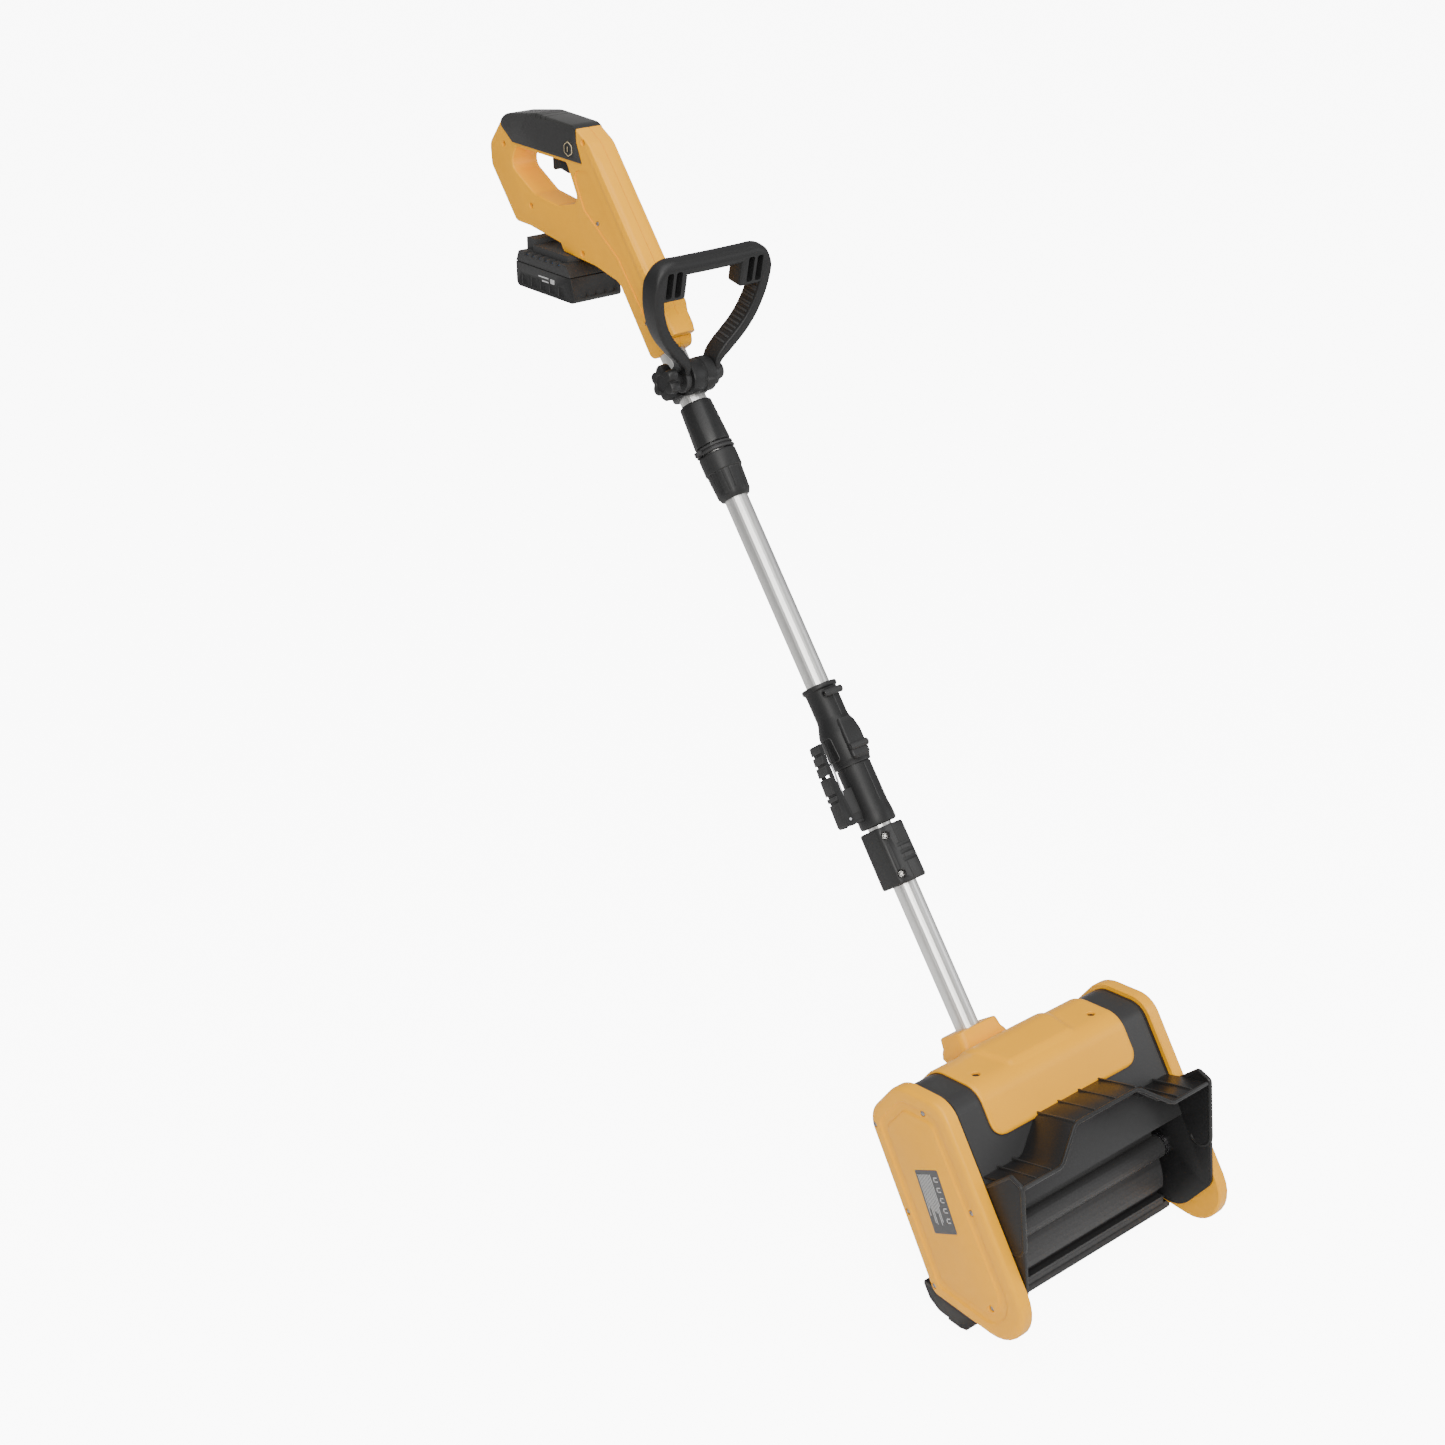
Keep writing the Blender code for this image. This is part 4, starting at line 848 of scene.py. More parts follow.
def build_collar():
    """The stepped block clamped round the lower tube."""
    rows = [(0.1172, 0.0195, 0.0190), (0.1180, 0.0206, 0.0200), (0.1195, 0.0210, 0.0205),
            (0.1830, 0.0205, 0.0200), (0.1845, 0.0200, 0.0196), (0.1853, 0.0190, 0.0186)]
    body = loft([[(x, y, s) for x, y in round_box(a, b, 0.0075, 8, (0, -0.0005))]
                 for s, a, b in rows], POLE)
    steps = []
    for s in (0.1395, 0.1485, 0.1575):
        groove = box((-0.004, -0.030, s), (0.030, -0.0185, s + 0.0045), POLE)
        steps.append(groove)
        steps.append(box((0.0192, -0.030, s), (0.030, 0.006, s + 0.0045), POLE))
    diagonal = Vector((-0.55, -0.835, 0.0)).normalized()
    seats = []
    for s in (0.1745, 0.1285):
        middle = diagonal * 0.0225
        point = POLE @ Vector((middle.x, middle.y, s))
        seats.append((point, (POLE.to_3x3() @ diagonal)))
    pockets = [lathe([(0.0030, -0.009), (0.0032, -0.0045), (0.0052, -0.0008), (0.0056, 0.004)],
                     32, aimed(p, way)) for p, way in seats]
    seam = box((-0.0002, -0.030, 0.11), (0.0002, -0.0198, 0.19), POLE)
    bore = lathe([(TUBE_R + TUBE_GAP, 0.10), (TUBE_R + TUBE_GAP, 0.20)], 40, POLE)
    body = cut(body, *steps, seam, bore, *pockets)
    part("pole_collar", softened(body, 0.0006, 2, 45), CHARCOAL, "head",
         ["pole_collar_left", "pole_collar_right"], 32)
    screws("collar_screws", [(p - way * 0.0062, way) for p, way in seats], "head", 0.85)


def build_coupling():
    """The quick coupling: the lower barrel with its flared foot, and the upper socket."""
    profile = [(0.0143, 0.1887), (0.0190, 0.1887), (0.0210, 0.1898), (0.0218, 0.1920),
               (0.0217, 0.2010), (0.0211, 0.2070), (0.0205, 0.2120), (0.0203, 0.2600),
               (0.0200, 0.2617), (0.0175, 0.2618), (0.0175, 0.2895), (0.0168, 0.2900),
               (0.0125, 0.2900), (0.0125, 0.2500), (0.0143, 0.2493)]
    barrel = turned_ring(profile, 64, POLE)
    lug = softened(box((-0.0415, -0.006, 0.2014), (-0.017, 0.006, 0.2126), POLE), 0.0022, 3)
    web = [softened(box((-0.034, y - 0.0012, 0.2000), (-0.018, y + 0.0012, 0.2400), POLE),
                    0.0005, 2) for y in (-0.0045, 0.0045)]
    seam = pipe([(0, -0.0205, s) for s in (0.214, 0.26)], 0.0006, 8, POLE)
    part("coupling_barrel_shell", merged(barrel, lug, *web, seam), CHARCOAL, "head",
         ["coupling_barrel"], 32)

    profile = [(0.0180, 0.2625), (0.0216, 0.2625), (0.0222, 0.2640), (0.0222, 0.2655),
               (0.0232, 0.2680), (0.0237, 0.2700), (0.0237, 0.3020), (0.0232, 0.3055),
               (0.0200, 0.3150), (0.0189, 0.3190), (0.0186, 0.3220), (0.0186, 0.3515),
               (0.0192, 0.3545), (0.0208, 0.3560), (0.0211, 0.3572), (0.0211, 0.3592),
               (0.0205, 0.3606), (0.0196, 0.3609), (0.0143, 0.3609), (0.0143, 0.3000),
               (0.0180, 0.2990)]
    socket = turned_ring(profile, 72, POLE)
    hump_rows = [(0.2670, 0.0100, 0.0040), (0.2700, 0.0125, 0.0065), (0.2980, 0.0125, 0.0065),
                 (0.3100, 0.0110, 0.0045), (0.3160, 0.0090, 0.0025)]
    hump = loft([[(x, y, s) for x, y in round_box(a, b, 0.0024, 5, (0.0, -0.0190))]
                 for s, a, b in hump_rows], POLE)
    shapes = [socket, hump]
    seats = []
    for s, reach, half in ((0.348, 0.0203, 0.0130), (0.281, 0.0250, 0.0130)):
        at = POLE @ Matrix.Translation((0, -reach, s)) @ ALONG_X
        boss = lathe([(0.0036, -half), (0.0042, -half + 0.0006), (0.0042, half - 0.0006),
                      (0.0036, half)], 32, at)
        well = lathe([(0.0027, -half - 0.002), (0.0027, -half + 0.0032)], 28, at)
        shapes.append(cut(boss, well))
        way = Vector((-1, 0, 0))
        seats.append((at @ Vector((0, 0, -half + 0.0030)), way))
    for sign in (-1, 1):
        frame_line = rounded([(-0.0075, 0.2725, 0.003), (0.0075, 0.2725, 0.003),
                              (0.0060, 0.3000, 0.003), (-0.0060, 0.3000, 0.003)], 5)
        raised = []
        for a, s in frame_line + frame_line[:1]:
            turn = a / 0.0237 + (0.0 if sign > 0 else math.pi)
            turn -= sign * 0.15
            raised.append((0.0237 * math.cos(turn), 0.0237 * math.sin(turn), s))
        shapes.append(pipe(raised, 0.0009, 8, POLE))
    body = merged(*shapes)
    seam = pipe([(0, -0.01865, s) for s in (0.3195, 0.3515)], 0.00055, 8, POLE)
    part("coupling_socket", merged(body, seam), CHARCOAL, "middle_pole",
         ["coupling_socket_left", "coupling_socket_right"], 32)
    screws("coupling_screws", seats, "middle_pole", 0.75)


def build_latch():
    """The lever on the coupling's left: a ribbed thumb plate with notches down its back."""
    outline = rounded([(-0.006, -0.008, 0.004), (0.009, -0.007, 0.004), (0.0078, 0.018, 0.002),
                       (0.0060, 0.050, 0.010), (0.0015, 0.090, 0.002), (-0.004, 0.092, 0.002),
                       (-0.003, 0.046, 0.004), (-0.005, 0.018, 0.002)], 5)
    lever = prism(outline, -0.009, 0.009, LATCH)
    slots = [box((-0.0069, -0.03, -0.02), (0.0069, 0.0069, 0.0092), LATCH),
             box((-0.0064, -0.010, 0.012), (0.0064, 0.0030, 0.060), LATCH)]
    for z in (0.022, 0.030, 0.052, 0.066, 0.078):
        slots.append(box((-0.020, 0.0052 - 0.00009 * (z - 0.02) * 1000, z),
                         (0.020, 0.020, z + 0.0028), LATCH))
    lever = cut(lever, *slots, lathe([(0.0024, -0.02), (0.0024, 0.02)], 20, LATCH @ ALONG_X))
    part("latch_lever_shell", softened(lever, 0.0007, 2, 40), CHARCOAL, "latch",
         ["latch_lever"], 32)
    wire = []
    for sign in (-1, 1):
        wire.append(pipe([(sign * 0.0055, -0.0035, 0.010), (sign * 0.0055, -0.0060, 0.030),
                          (sign * 0.0052, -0.0080, 0.052), (sign * 0.0030, -0.0100, 0.064),
                          (0.0, -0.0104, 0.0655)], 0.0012, 10, LATCH))
    part("latch_wire", merged(*wire), STEEL, "latch", ["latch_hook"], 40)
    pin = lathe([(0.0, -0.0088), (0.0017, -0.0088), (0.0020, -0.0084), (0.0020, 0.0084),
                 (0.0017, 0.0088), (0.0, 0.0088)], 24, LATCH @ ALONG_X)
    part("latch_pin_bar", pin, STEEL, "latch", ["latch_pin"], 40)


def build_twist_lock():
    """The telescopic lock: a faceted sleeve, two thin rings, and the turning collar."""
    rows = [(0.6634, 0.0198), (0.6642, 0.0207), (0.6660, 0.0211), (0.7130, 0.0187),
            (0.7148, 0.0182), (0.7156, 0.0174)]
    sleeve = loft([facets(r, 10, s, 0.10) for s, r in rows], POLE)
    bore = lathe([(OUTER_TUBE_R + TUBE_GAP, 0.6), (OUTER_TUBE_R + TUBE_GAP, 0.8)], 48, POLE)
    part("lock_sleeve_shell", cut(sleeve, bore), BLACK, "rear_section", ["lock_sleeve"], 20)

    inner = OUTER_TUBE_R + TUBE_GAP
    rings = [turned_ring([(inner, a), (r - 0.0008, a), (r, a + 0.0007), (r, b - 0.0007),
                          (r - 0.0008, b), (inner, b)], 64, POLE)
             for a, b, r in ((0.6540, 0.6574, 0.0232), (0.6590, 0.6622, 0.0226))]
    rings.append(turned_ring([(inner, 0.6574), (0.0204, 0.6574), (0.0204, 0.6590),
                              (inner, 0.6590)], 48, POLE))
    tab = softened(loft([[(x, y, s) for x, y in rounded(
        [(-0.0290, -0.0026, 0.001), (-0.0200, -0.0046, 0.001), (-0.0200, 0.0046, 0.001),
         (-0.0290, 0.0026, 0.001)], 4)] for s in (0.6540, 0.6598)], POLE), 0.0005, 2)
    part("lock_flange_rings", merged(*rings, tab), CHARCOAL, "rear_section", ["lock_flange"], 32)

    wide = turned_ring([(0.0170, 0.6526), (0.0208, 0.6526), (0.0218, 0.6521), (0.0225, 0.6508),
                        (0.0225, 0.6318), (0.0222, 0.6308), (0.0213, 0.6302), (0.0170, 0.6302)],
                       72, POLE)
    rows = [(0.6310, 0.0200), (0.6280, 0.0202), (0.6050, 0.0189), (0.6020, 0.0187),
            (0.5975, 0.0166), (0.5962, 0.0156)]
    grip = loft([facets(r, 8, s, 0.10, 0.2) for s, r in rows], POLE)
    ribs = []
    for k in range(8):
        turn = math.tau * (k + 0.5) / 8 + 0.2
        place = POLE @ Matrix.Rotation(turn, 4, "Z")
        ribs.append(softened(loft([[(x, y, s) for x, y in rounded(
            [(0.016, -0.0036, 0.0008), (r, -0.0036, 0.0008), (r, 0.0036, 0.0008),
             (0.016, 0.0036, 0.0008)], 3)] for s, r in ((0.6305, 0.0214), (0.6275, 0.0213),
                                                       (0.6060, 0.0199), (0.6025, 0.0186))],
            place), 0.0005, 2))
    bore = lathe([(TUBE_R + 0.0005, 0.59), (TUBE_R + 0.0005, 0.604), (0.0170, 0.6041),
                  (0.0170, 0.66)], 48, POLE)
    body = cut(grip, bore)
    part("twist_collar_shell", merged(wide, body, *ribs), CHARCOAL, "collar",
         ["twist_collar"], 28)


# ---------------------------------------------------------------- front handle

def build_clamp():
    """The split clamp with the drum that carries the loop handle, its star knob and its cap."""
    bore = lathe([(OUTER_TUBE_R + TUBE_GAP, 0.6), (OUTER_TUBE_R + TUBE_GAP, 0.9)], 48, POLE)
    drum_at = POLE @ Matrix.Translation((0, -CLAMP_OUT, CLAMP_AT)) @ ALONG_X
    ring = lathe([(0.0205, 0.7252), (0.0216, 0.7256), (0.0224, 0.7268), (0.0224, 0.7572),
                  (0.0216, 0.7584), (0.0205, 0.7588)], 64, POLE)
    front_half = box((-0.05, -0.05, 0.71), (0.05, -0.00015, 0.78), POLE)
    rear_half = box((-0.05, 0.00015, 0.71), (0.05, 0.05, 0.78), POLE)
    drum = lathe([(0.0196, -0.0165), (0.0205, -0.0156), (0.0205, -0.0030), (0.0197, -0.0026),
                  (0.0197, 0.0026), (0.0205, 0.0030), (0.0205, 0.0156), (0.0196, 0.0165)],
                 56, drum_at)
    clearance = [lathe([(0.0195, a), (0.0195, b)], 48, drum_at)
                 for a, b in ((-0.05, -0.0165), (0.0165, 0.05))]
    front = union(boolean(ring, "INTERSECT", [front_half]), drum)
    front = cut(front, bore, rear_half, *clearance,
                lathe([(0.0033, -0.05), (0.0033, 0.05)], 24, drum_at))
    part("clamp_front_shell", softened(front, 0.0007, 2, 40), CHARCOAL, "rear_section",
         ["clamp_front"], 32)
    rear = cut(boolean(ring, "INTERSECT", [rear_half]), bore)
    ears = []
    for sign in (-1, 1):
        low, high = sorted((sign * 0.0178, sign * 0.0222))
        ears.append(softened(box((low, 0.0004, 0.7300), (high, 0.0110, 0.7540), POLE),
                             0.0010, 2))
    part("clamp_rear_shell", merged(softened(rear, 0.0008, 2, 40), *ears), CHARCOAL,
         "rear_section", ["clamp_rear"], 32)

    def star(radius, wave, x):
        points = []
        for i in range(90):
            angle = math.tau * i / 90
            reach = radius + wave * (0.5 + 0.5 * math.cos(6 * angle)) ** 0.55
            points.append((x, reach * math.cos(angle), reach * math.sin(angle)))
        return points

    rows = [(0.0100, 0.0010, -0.0356), (0.0138, 0.0040, -0.0362), (0.0150, 0.0054, -0.0376),
            (0.0152, 0.0058, -0.0395), (0.0150, 0.0056, -0.0475), (0.0142, 0.0050, -0.0493),
            (0.0120, 0.0034, -0.0502), (0.0095, 0.0010, -0.0503), (0.0088, 0.0, -0.0490)]
    head = loft([star(*row) for row in rows], LOOP)
    neck = lathe([(0.0080, 0.0), (0.0086, 0.0008), (0.0092, 0.0108)], 40,
                 LOOP @ Matrix.Translation((-0.0250, 0, 0)) @ Matrix.Rotation(-math.pi / 2, 4, "Y"))
    part("clamp_knob_star", merged(head, neck), BLACK, "knob", ["clamp_knob"], 35)
    cap = lathe([(0.0090, 0.0250), (0.0106, 0.0256), (0.0108, 0.0320), (0.0100, 0.0342),
                 (0.0082, 0.0355), (0.0058, 0.0360), (0.0055, 0.0345), (0.0, 0.0345)], 48,
                LOOP @ ALONG_X)
    part("clamp_cap_dome", cap, BLACK, "loop", ["clamp_cap"], 35)


def loop_centre():
    """The line down the middle of the loop's right arm: (x, height, half width)."""
    return [(0.0207, -0.002, 0.0034), (0.0209, 0.010, 0.0036), (0.0235, 0.0215, 0.0052),
            (0.0325, 0.0325, 0.0066), (0.0430, 0.043, 0.0068), (0.0545, 0.056, 0.0068),
            (0.0645, 0.072, 0.0068), (0.0722, 0.092, 0.0068), (0.0757, 0.110, 0.0070),
            (0.0758, 0.126, 0.0074), (0.0712, 0.1378, 0.0086), (0.0610, 0.1420, 0.0098),
            (0.0460, 0.1420, 0.0098), (0.0240, 0.1418, 0.0098), (0.0, 0.1417, 0.0098)]


def spline(points, per=6):
    """Catmull-Rom points through every given point, all their values blended alike."""
    points = [Vector(p) for p in points]
    made = []
    for i in range(len(points) - 1):
        a = points[max(i - 1, 0)]
        b, c = points[i], points[i + 1]
        d = points[min(i + 2, len(points) - 1)]
        for k in range(per):
            t = k / per
            made.append(0.5 * ((2 * b) + (c - a) * t + (2 * a - 5 * b + 4 * c - d) * t * t
                               + (3 * b - a - 3 * c + d) * t ** 3))
    made.append(points[-1])
    return made


def build_loop():
    """The loop handle: flared arms with ribs on their inner sides, and a round top bar."""
    half = spline(loop_centre(), 6)
    full = half + [Vector((-p.x, p.y, p.z)) for p in half[-2::-1]]
    rings = []
    ribs = []
    for i, point in enumerate(full):
        ahead = full[min(i + 1, len(full) - 1)] - full[max(i - 1, 0)]
        along = Vector((ahead.x, ahead.y)).normalized()
        out = Vector((along.y, -along.x))
        bar = smooth(point.y, 0.124, 0.141)
        depth = 0.0128 - 0.0006 * bar
        corner = 0.0030 + 0.0062 * bar
        section = round_box(point.z, depth, min(corner, point.z * 0.96), 5)
        rings.append([(point.x + out.x * a, b, point.y + out.y * a) for a, b in section])
    body = loft(rings, LOOP)
    ears = []
    for sign in (-1, 1):
        at = LOOP @ ALONG_X
        low, high = sorted((sign * 0.0170, sign * 0.0245))
        ears.append(lathe([(0.0152, low), (0.0160, low + 0.0007), (0.0160, high - 0.0007),
                           (0.0152, high)], 48, at))
    hole = lathe([(0.0033, -0.05), (0.0033, 0.05)], 24, LOOP @ ALONG_X)
    pockets = []
    blocks = []
    for sign in (-1, 1):
        low, high = sorted((sign * 0.0385, sign * 0.0735))
        blocks.append(softened(box((low, -0.0120, 0.1060), (high, 0.0120, 0.1440), LOOP),
                               0.0040, 4, 45))
        for x in (0.0515, 0.0640):
            pockets.append(softened(box((sign * x - 0.0042, -0.0300, 0.1110),
                                        (sign * x + 0.0042, 0.0090, 0.1410), LOOP), 0.0025, 3))
    gap = box((-0.0170, -0.03, -0.02), (0.0170, 0.03, 0.0225), LOOP)
    body = cut(union(body, *ears, *blocks), hole, gap, *pockets)
    for sign in (-1, 1):
        for k in range(15):
            t = 0.034 + k * 0.0050
            near = min(half, key=lambda p: abs(p.y - t) + (1 if p.x < 0.012 else 0))
            j = half.index(near)
            ahead = half[min(j + 1, len(half) - 1)] - half[max(j - 1, 0)]
            along = Vector((ahead.x, ahead.y)).normalized()
            out = Vector((along.y, -along.x))
            place = LOOP @ Matrix(((sign * out.x, 0, sign * along.x, sign * near.x),
                                   (0, 1, 0, 0), (out.y, 0, along.y, near.y), (0, 0, 0, 1)))
            rib = box((-near.z - 0.0011, -0.0088, -0.0013), (-near.z + 0.0016, 0.0088, 0.0013))
            rib = softened(rib, 0.0005, 2)
            rib.transform(place)
            if sign < 0:
                rib.flip_normals()
            ribs.append(rib)
    part("loop_handle_bow", merged(body, *ribs), CHARCOAL, "loop", ["loop_handle"], 34)


# ---------------------------------------------------------------- rear handle

GRIP_ZONE = [(0.8285, 1.165), (0.8262, 1.110), (0.8165, 1.0872), (0.955, 1.090),
             (0.978, 1.106), (0.985, 1.165)]


def handle_body(half, roll):
    """The rear handle's outline with its finger hole, its edges rolled over."""
    body = prism(rounded(HANDLE, 10), -half, half)
    hole = prism(rounded(GRIP_HOLE, 10), -0.05, 0.05)
    return softened(cut(body, hole), roll, 6, 55)


def build_rear_handle():
    """The yellow rear handle with its spine, pressed side panels and seam, and the grip skin."""
    body = handle_body(HANDLE_HALF - 0.0006, 0.0075)
    spine_rows = []
    for s, low, high, half in ((0.790, 0.0245, 0.0375, 0.0165), (0.800, 0.0235, 0.0378, 0.0188),
                               (0.860, 0.0200, 0.0378, 0.0191), (0.940, 0.0190, 0.0372, 0.0191),
                               (1.005, 0.0200, 0.0368, 0.0191), (1.025, 0.0200, 0.0352, 0.0189),
                               (1.040, 0.0180, 0.0315, 0.0180), (1.050, 0.0160, 0.0262, 0.0160),
                               (1.056, 0.0150, 0.0215, 0.0125)):
        middle = (low + high) / 2
        spine_rows.append([(x, y, s) for x, y in
                           round_box(half, (high - low) / 2, (high - low) * 0.47, 8,
                                     (0.0, -middle))])
    spine = loft(spine_rows, POLE)
    zone = prism(GRIP_ZONE, -0.03, 0.03)
    core = prism(rounded(inset(HANDLE, 0.0035), 8), -HANDLE_HALF + 0.0042, HANDLE_HALF - 0.0042)
    bore = lathe([(OUTER_TUBE_R + TUBE_GAP, 0.70), (OUTER_TUBE_R + TUBE_GAP, 0.967)], 40, POLE)
    trigger_way = box((-0.0076, 0.8500, 1.0640), (0.0076, 0.8940, 1.0985))
    seats = []
    for y, z, x in ((0.814, 1.112, HANDLE_HALF - 0.0012), (0.922, 1.020, HANDLE_HALF - 0.0006),
                    (0.790, 1.023, HANDLE_HALF - 0.0006), (0.820, 0.982, HANDLE_HALF - 0.0010),
                    (0.700, 0.925, HANDLE_HALF - 0.0006), (0.975, 1.085, HANDLE_HALF - 0.0006)):
        seats.append((Vector((-x, y, z)), Vector((-1, 0, 0))))
    depths = [0.0016 if abs((POLE.inverted() @ p).y) < TUBE_R else 0.0048 for p, _ in seats]
    wells = [recess(p, way, 0.0038, depth) for (p, way), depth in zip(seats, depths)]
    seam = prism(rounded(inset(HANDLE, -0.004), 6), -0.00025, 0.00025)
    seam = cut(seam, prism(rounded(inset(HANDLE, 0.0007), 6), -0.01, 0.01))
    panel = [(0.806, 1.080, 0.010), (0.696, 0.940, 0.010), (0.700, 0.928, 0.006),
             (0.752, 0.990, 0.020), (0.815, 1.034, 0.012), (0.838, 1.078, 0.010)]
    presses = []
    for sign in (-1, 1):
        low, high = sorted((sign * (HANDLE_HALF - 0.0017), sign * (HANDLE_HALF + 0.01)))
        presses.append(prism(rounded(panel, 8), low, high))
    clear = cut(zone, core)
    body = cut(union(body, spine), clear, bore, trigger_way, seam, *presses, *wells)
    part("rear_handle_shell", body, YELLOW, "rear_section",
         ["handle_shell_left", "handle_shell_right"], 34)
    places = [(p - way * (depth - 0.0008), way) for (p, way), depth in zip(seats, depths)]
    screws("handle_screws", places, "rear_section", 0.85)

    skin = handle_body(HANDLE_HALF + 0.0004, 0.0074)
    keep = prism([(0.8288, 1.165), (0.8265, 1.110), (0.8169, 1.0876), (0.955, 1.0904),
                  (0.9775, 1.1062), (0.9845, 1.165)], -0.03, 0.03)
    inner = prism(rounded(inset(HANDLE, 0.0034), 8), -HANDLE_HALF + 0.0040, HANDLE_HALF - 0.0040)
    button = lathe([(0.0083, -0.03), (0.0083, 0.03)], 6,
                   Matrix.Translation(BUTTON_AT) @ ALONG_X)
    skin = cut(boolean(skin, "INTERSECT", [keep]), inner, button)
    grooves = []
    for k in range(9):
        y = 0.884 + k * 0.0098
        grooves.append(box((-0.03, y, 1.1265), (0.03, y + 0.0010, 1.140)))
    part("grip_skin_shell", cut(skin, *grooves), RUBBER, "rear_section", ["grip_skin"], 34)


def build_controls():
    """The hexagonal lock-off button with its printed outline and mark, and the trigger."""
    at = Matrix.Translation(BUTTON_AT) @ ALONG_X

    def hexagon(radius, x):
        ring = []
        for k in range(6):
            a = math.tau * k / 6
            b = math.tau * (k + 1) / 6
            for t in (0.1, 0.9):
                ring.append((radius * (math.cos(a) * (1 - t) + math.cos(b) * t),
                             radius * (math.sin(a) * (1 - t) + math.sin(b) * t), x))
        return ring

    rows = [(0.0074, 0.0060), (0.0074, -0.0052), (0.0070, -0.0062), (0.0060, -0.0066),
            (0.0040, -0.0062), (0.0030, -0.0061)]
    button = loft([hexagon(r, x) for r, x in rows], at)
    part("lock_off_button_cap", button, CHARCOAL, "lock_off", ["lock_off_button"], 34)
    line = [(x, y, -0.0053) for x, y, _ in hexagon(0.0084, 0)]
    outline = pipe(line + line[:1], 0.00050, 8, at)
    mark = pipe([(0.0030, 0.0, -0.0062), (-0.0030, 0.0, -0.0062)], 0.0004, 8, at)
    part("button_outline", outline, CREAM, "rear_section")
    part("button_mark", mark, CREAM, "lock_off")

    trigger = prism(rounded([(-0.019, 0.010, 0.002), (-0.021, -0.006, 0.003),
                             (-0.012, -0.013, 0.004), (0.004, -0.010, 0.012),
                             (0.019, -0.014, 0.003), (0.020, 0.010, 0.002)], 6),
                    -0.0070, 0.0070, Matrix.Translation((0, 0.872, 1.080)))
    part("trigger_blade", softened(trigger, 0.0016, 3, 40), BLACK, "trigger_body",
         ["trigger"], 34)


# ---------------------------------------------------------------- battery

def build_battery():
    """The battery: a ribbed lower case, a chamfered upper case with vents, and its tower."""
    front, back, low, high = 0.815, 0.935, 0.924, 0.968
    seam = low + 0.030
    lower = prism(rounded([(front, low, 0.006), (back, low, 0.007), (back, seam - 0.0004, 0.0006),
                           (front + 0.0079, seam - 0.0004, 0.0006)], 5), -PACK_HALF, PACK_HALF)
    lower = softened(lower, 0.0038, 4, 60)
    cuts = []
    for sign in (-1, 1):
        for k in range(5):
            y = front + 0.022 + k * 0.0185
            well = box((sign * PACK_HALF - 0.0011, y, low + 0.0040),
                       (sign * PACK_HALF + 0.0011, y + 0.0120, low + 0.0160))
            cuts.append(softened(well, 0.0008, 2))
    for k in range(4):
        x = -0.024 + k * 0.0135
        well = box((x, front - 0.004, low + 0.007), (x + 0.0085, front + 0.0034, low + 0.022))
        cuts.append(well)
    lower = cut(lower, *cuts)
    upper = prism(rounded([(front + 0.0084, seam + 0.0003, 0.0006), (back, seam + 0.0003, 0.0006),
                           (back - 0.006, high, 0.003), (front + 0.018, high, 0.003)], 5),
                  -PACK_HALF, PACK_HALF)
    upper = softened(upper, 0.0048, 3, 60)
    notches = []
    for sign in (-1, 1):
        for k in range(6):
            y = front + 0.030 + k * 0.0130
            low_x, high_x = sorted((sign * (PACK_HALF - 0.0090), sign * (PACK_HALF + 0.002)))
            notches.append(box((low_x, y, high - 0.0042), (high_x, y + 0.0062, high + 0.003)))
    upper = cut(upper, *notches)
    rail = softened(box((-0.019, front + 0.030, high - 0.001),
                        (0.019, back - 0.031, high + 0.0035)), 0.0006, 2)
    tower = box((-0.022, back - 0.025, high - 0.001), (0.022, back - 0.006, high + 0.014))
    tower = cut(tower, box((-0.0108, 0.9215, 0.9672), (0.0108, 0.9500, 0.9818)))
    tower = softened(tower, 0.0016, 3, 50)
    part("battery_case", merged(softened(lower, 0.0004, 2, 50), softened(upper, 0.0004, 2, 50),
                                rail, tower),
         CHARCOAL, "battery", ["battery_lower_case", "battery_upper_case"], 32)
    marks = []
    for k, length in enumerate((0.020, 0.013)):
        z = seam - 0.010 - k * 0.0045
        marks.append(box((-PACK_HALF - 0.0003, 0.868, z),
                         (-PACK_HALF + 0.0002, 0.868 + length, z + 0.0016)))
    marks.append(softened(box((-PACK_HALF - 0.0003, 0.856, seam - 0.0140),
                              (-PACK_HALF + 0.0002, 0.864, seam - 0.0085)), 0.0001, 1))
    part("battery_print", merged(*marks),
         plastic("pale_print", (0.50, 0.50, 0.50), 0.5, 900.0, 0.02), "battery")
    release = softened(box((-0.010, 0.925, 0.9685), (0.010, 0.9305, 0.9805)), 0.0012, 3)
    part("battery_release_pad", release, RUBBER, "release", ["battery_release"], 34)


# ---------------------------------------------------------------- setting

def area_light(name, place, target, size, power, colour=(1, 1, 1)):
    lamp = bpy.data.lights.new(name, "AREA")
    lamp.shape = "RECTANGLE"
    lamp.size, lamp.size_y = size
    lamp.energy = power
    lamp.color = colour
    obj = bpy.data.objects.new(name, lamp)
    obj.location = place
    way = Vector(target) - Vector(place)
    obj.rotation_euler = way.to_track_quat("-Z", "Y").to_euler()
    bpy.context.scene.collection.objects.link(obj)


ROOM_LIGHT = 0.36                # strength of the white room as it lights the object
BACKDROP = 12.0                  # strength of the white room as it is seen behind it
FLOOR_GLOW = 9.0                 # what lifts the pale floor to the backdrop's white


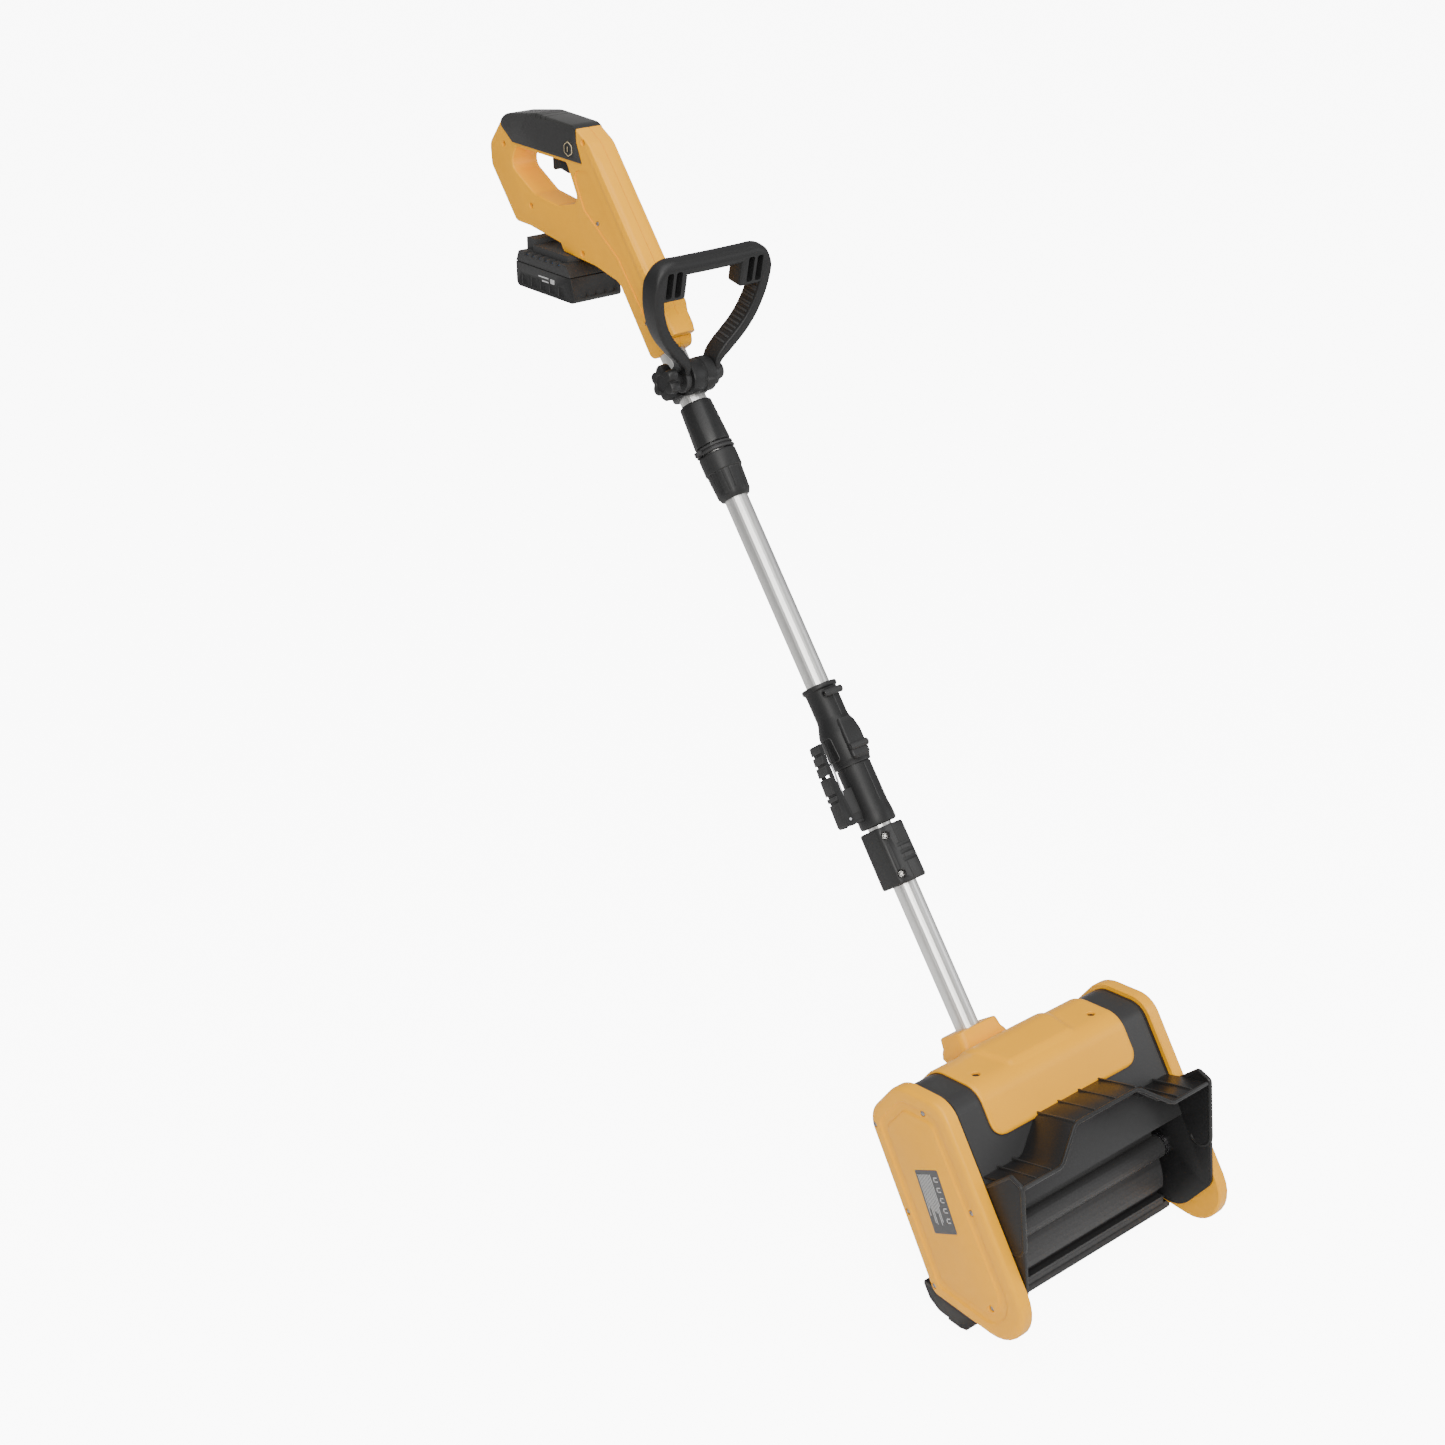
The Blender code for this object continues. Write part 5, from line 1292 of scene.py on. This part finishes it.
def build_setting():
    camera = bpy.data.cameras.new("camera")
    camera.lens = 56.18
    camera.sensor_width = 36
    camera.clip_end = 100
    eye = bpy.data.objects.new("camera", camera)
    eye.location = (-1.5590, -1.3042, 1.6595)
    eye.rotation_euler = (math.radians(63.755), 0, math.radians(-39.54))
    bpy.context.scene.collection.objects.link(eye)
    bpy.context.scene.camera = eye

    floor = loose(mesh_of([(-30, -30, -0.0004), (30, -30, -0.0004), (30, 30, -0.0004),
                           (-30, 30, -0.0004)], [(0, 1, 2, 3)]))
    floor.name = "floor"
    pale = bpy.data.materials.new("pale_floor")
    pale.use_nodes = True
    nodes = Nodes(pale.node_tree)
    shader = pale.node_tree.nodes["Principled BSDF"]
    shader.inputs["Base Color"].default_value = (0.92, 0.92, 0.92, 1)
    shader.inputs["Roughness"].default_value = 0.9
    shader.inputs["Emission Color"].default_value = (1, 1, 1, 1)
    sight = nodes.add("ShaderNodeLightPath")
    glow = nodes.math("MULTIPLY", sight.outputs["Is Camera Ray"], FLOOR_GLOW)
    nodes.link(glow, shader.inputs["Emission Strength"])
    floor.data.materials.append(pale)

    world = bpy.data.worlds.new("studio")
    world.use_nodes = True
    nodes = Nodes(world.node_tree)
    back = world.node_tree.nodes["Background"]
    back.inputs["Color"].default_value = (1, 1, 1, 1)
    sight = nodes.add("ShaderNodeLightPath")
    strength = nodes.add("ShaderNodeMapRange")
    nodes.link(sight.outputs["Is Camera Ray"], strength.inputs["Value"])
    strength.inputs["To Min"].default_value = ROOM_LIGHT
    strength.inputs["To Max"].default_value = BACKDROP
    nodes.link(strength.outputs["Result"], back.inputs["Strength"])
    bpy.context.scene.world = world
    area_light("overhead", (-0.4, -0.2, 3.2), (0, 0.3, 0.5), (2.6, 2.6), 66)
    area_light("key", (-2.2, -2.4, 2.6), (0, 0.3, 0.5), (1.6, 1.6), 120, (1, 0.985, 0.96))
    area_light("fill", (2.4, -1.6, 1.6), (0, 0.3, 0.5), (1.8, 1.8), 22, (0.97, 0.985, 1))


dress_nodes()
for cover_side, cover_sign in (("left", -1), ("right", 1)):
    build_side_cover(cover_side, cover_sign)
face_start, face_along = build_housing()
build_top_cover()
build_label()
build_cheeks(face_start, face_along)
build_hood(face_start, face_along)
build_scraper()
build_collar()
build_coupling()
build_latch()
build_twist_lock()
build_clamp()
build_loop()
build_rear_handle()
build_controls()
build_battery()
build_setting()
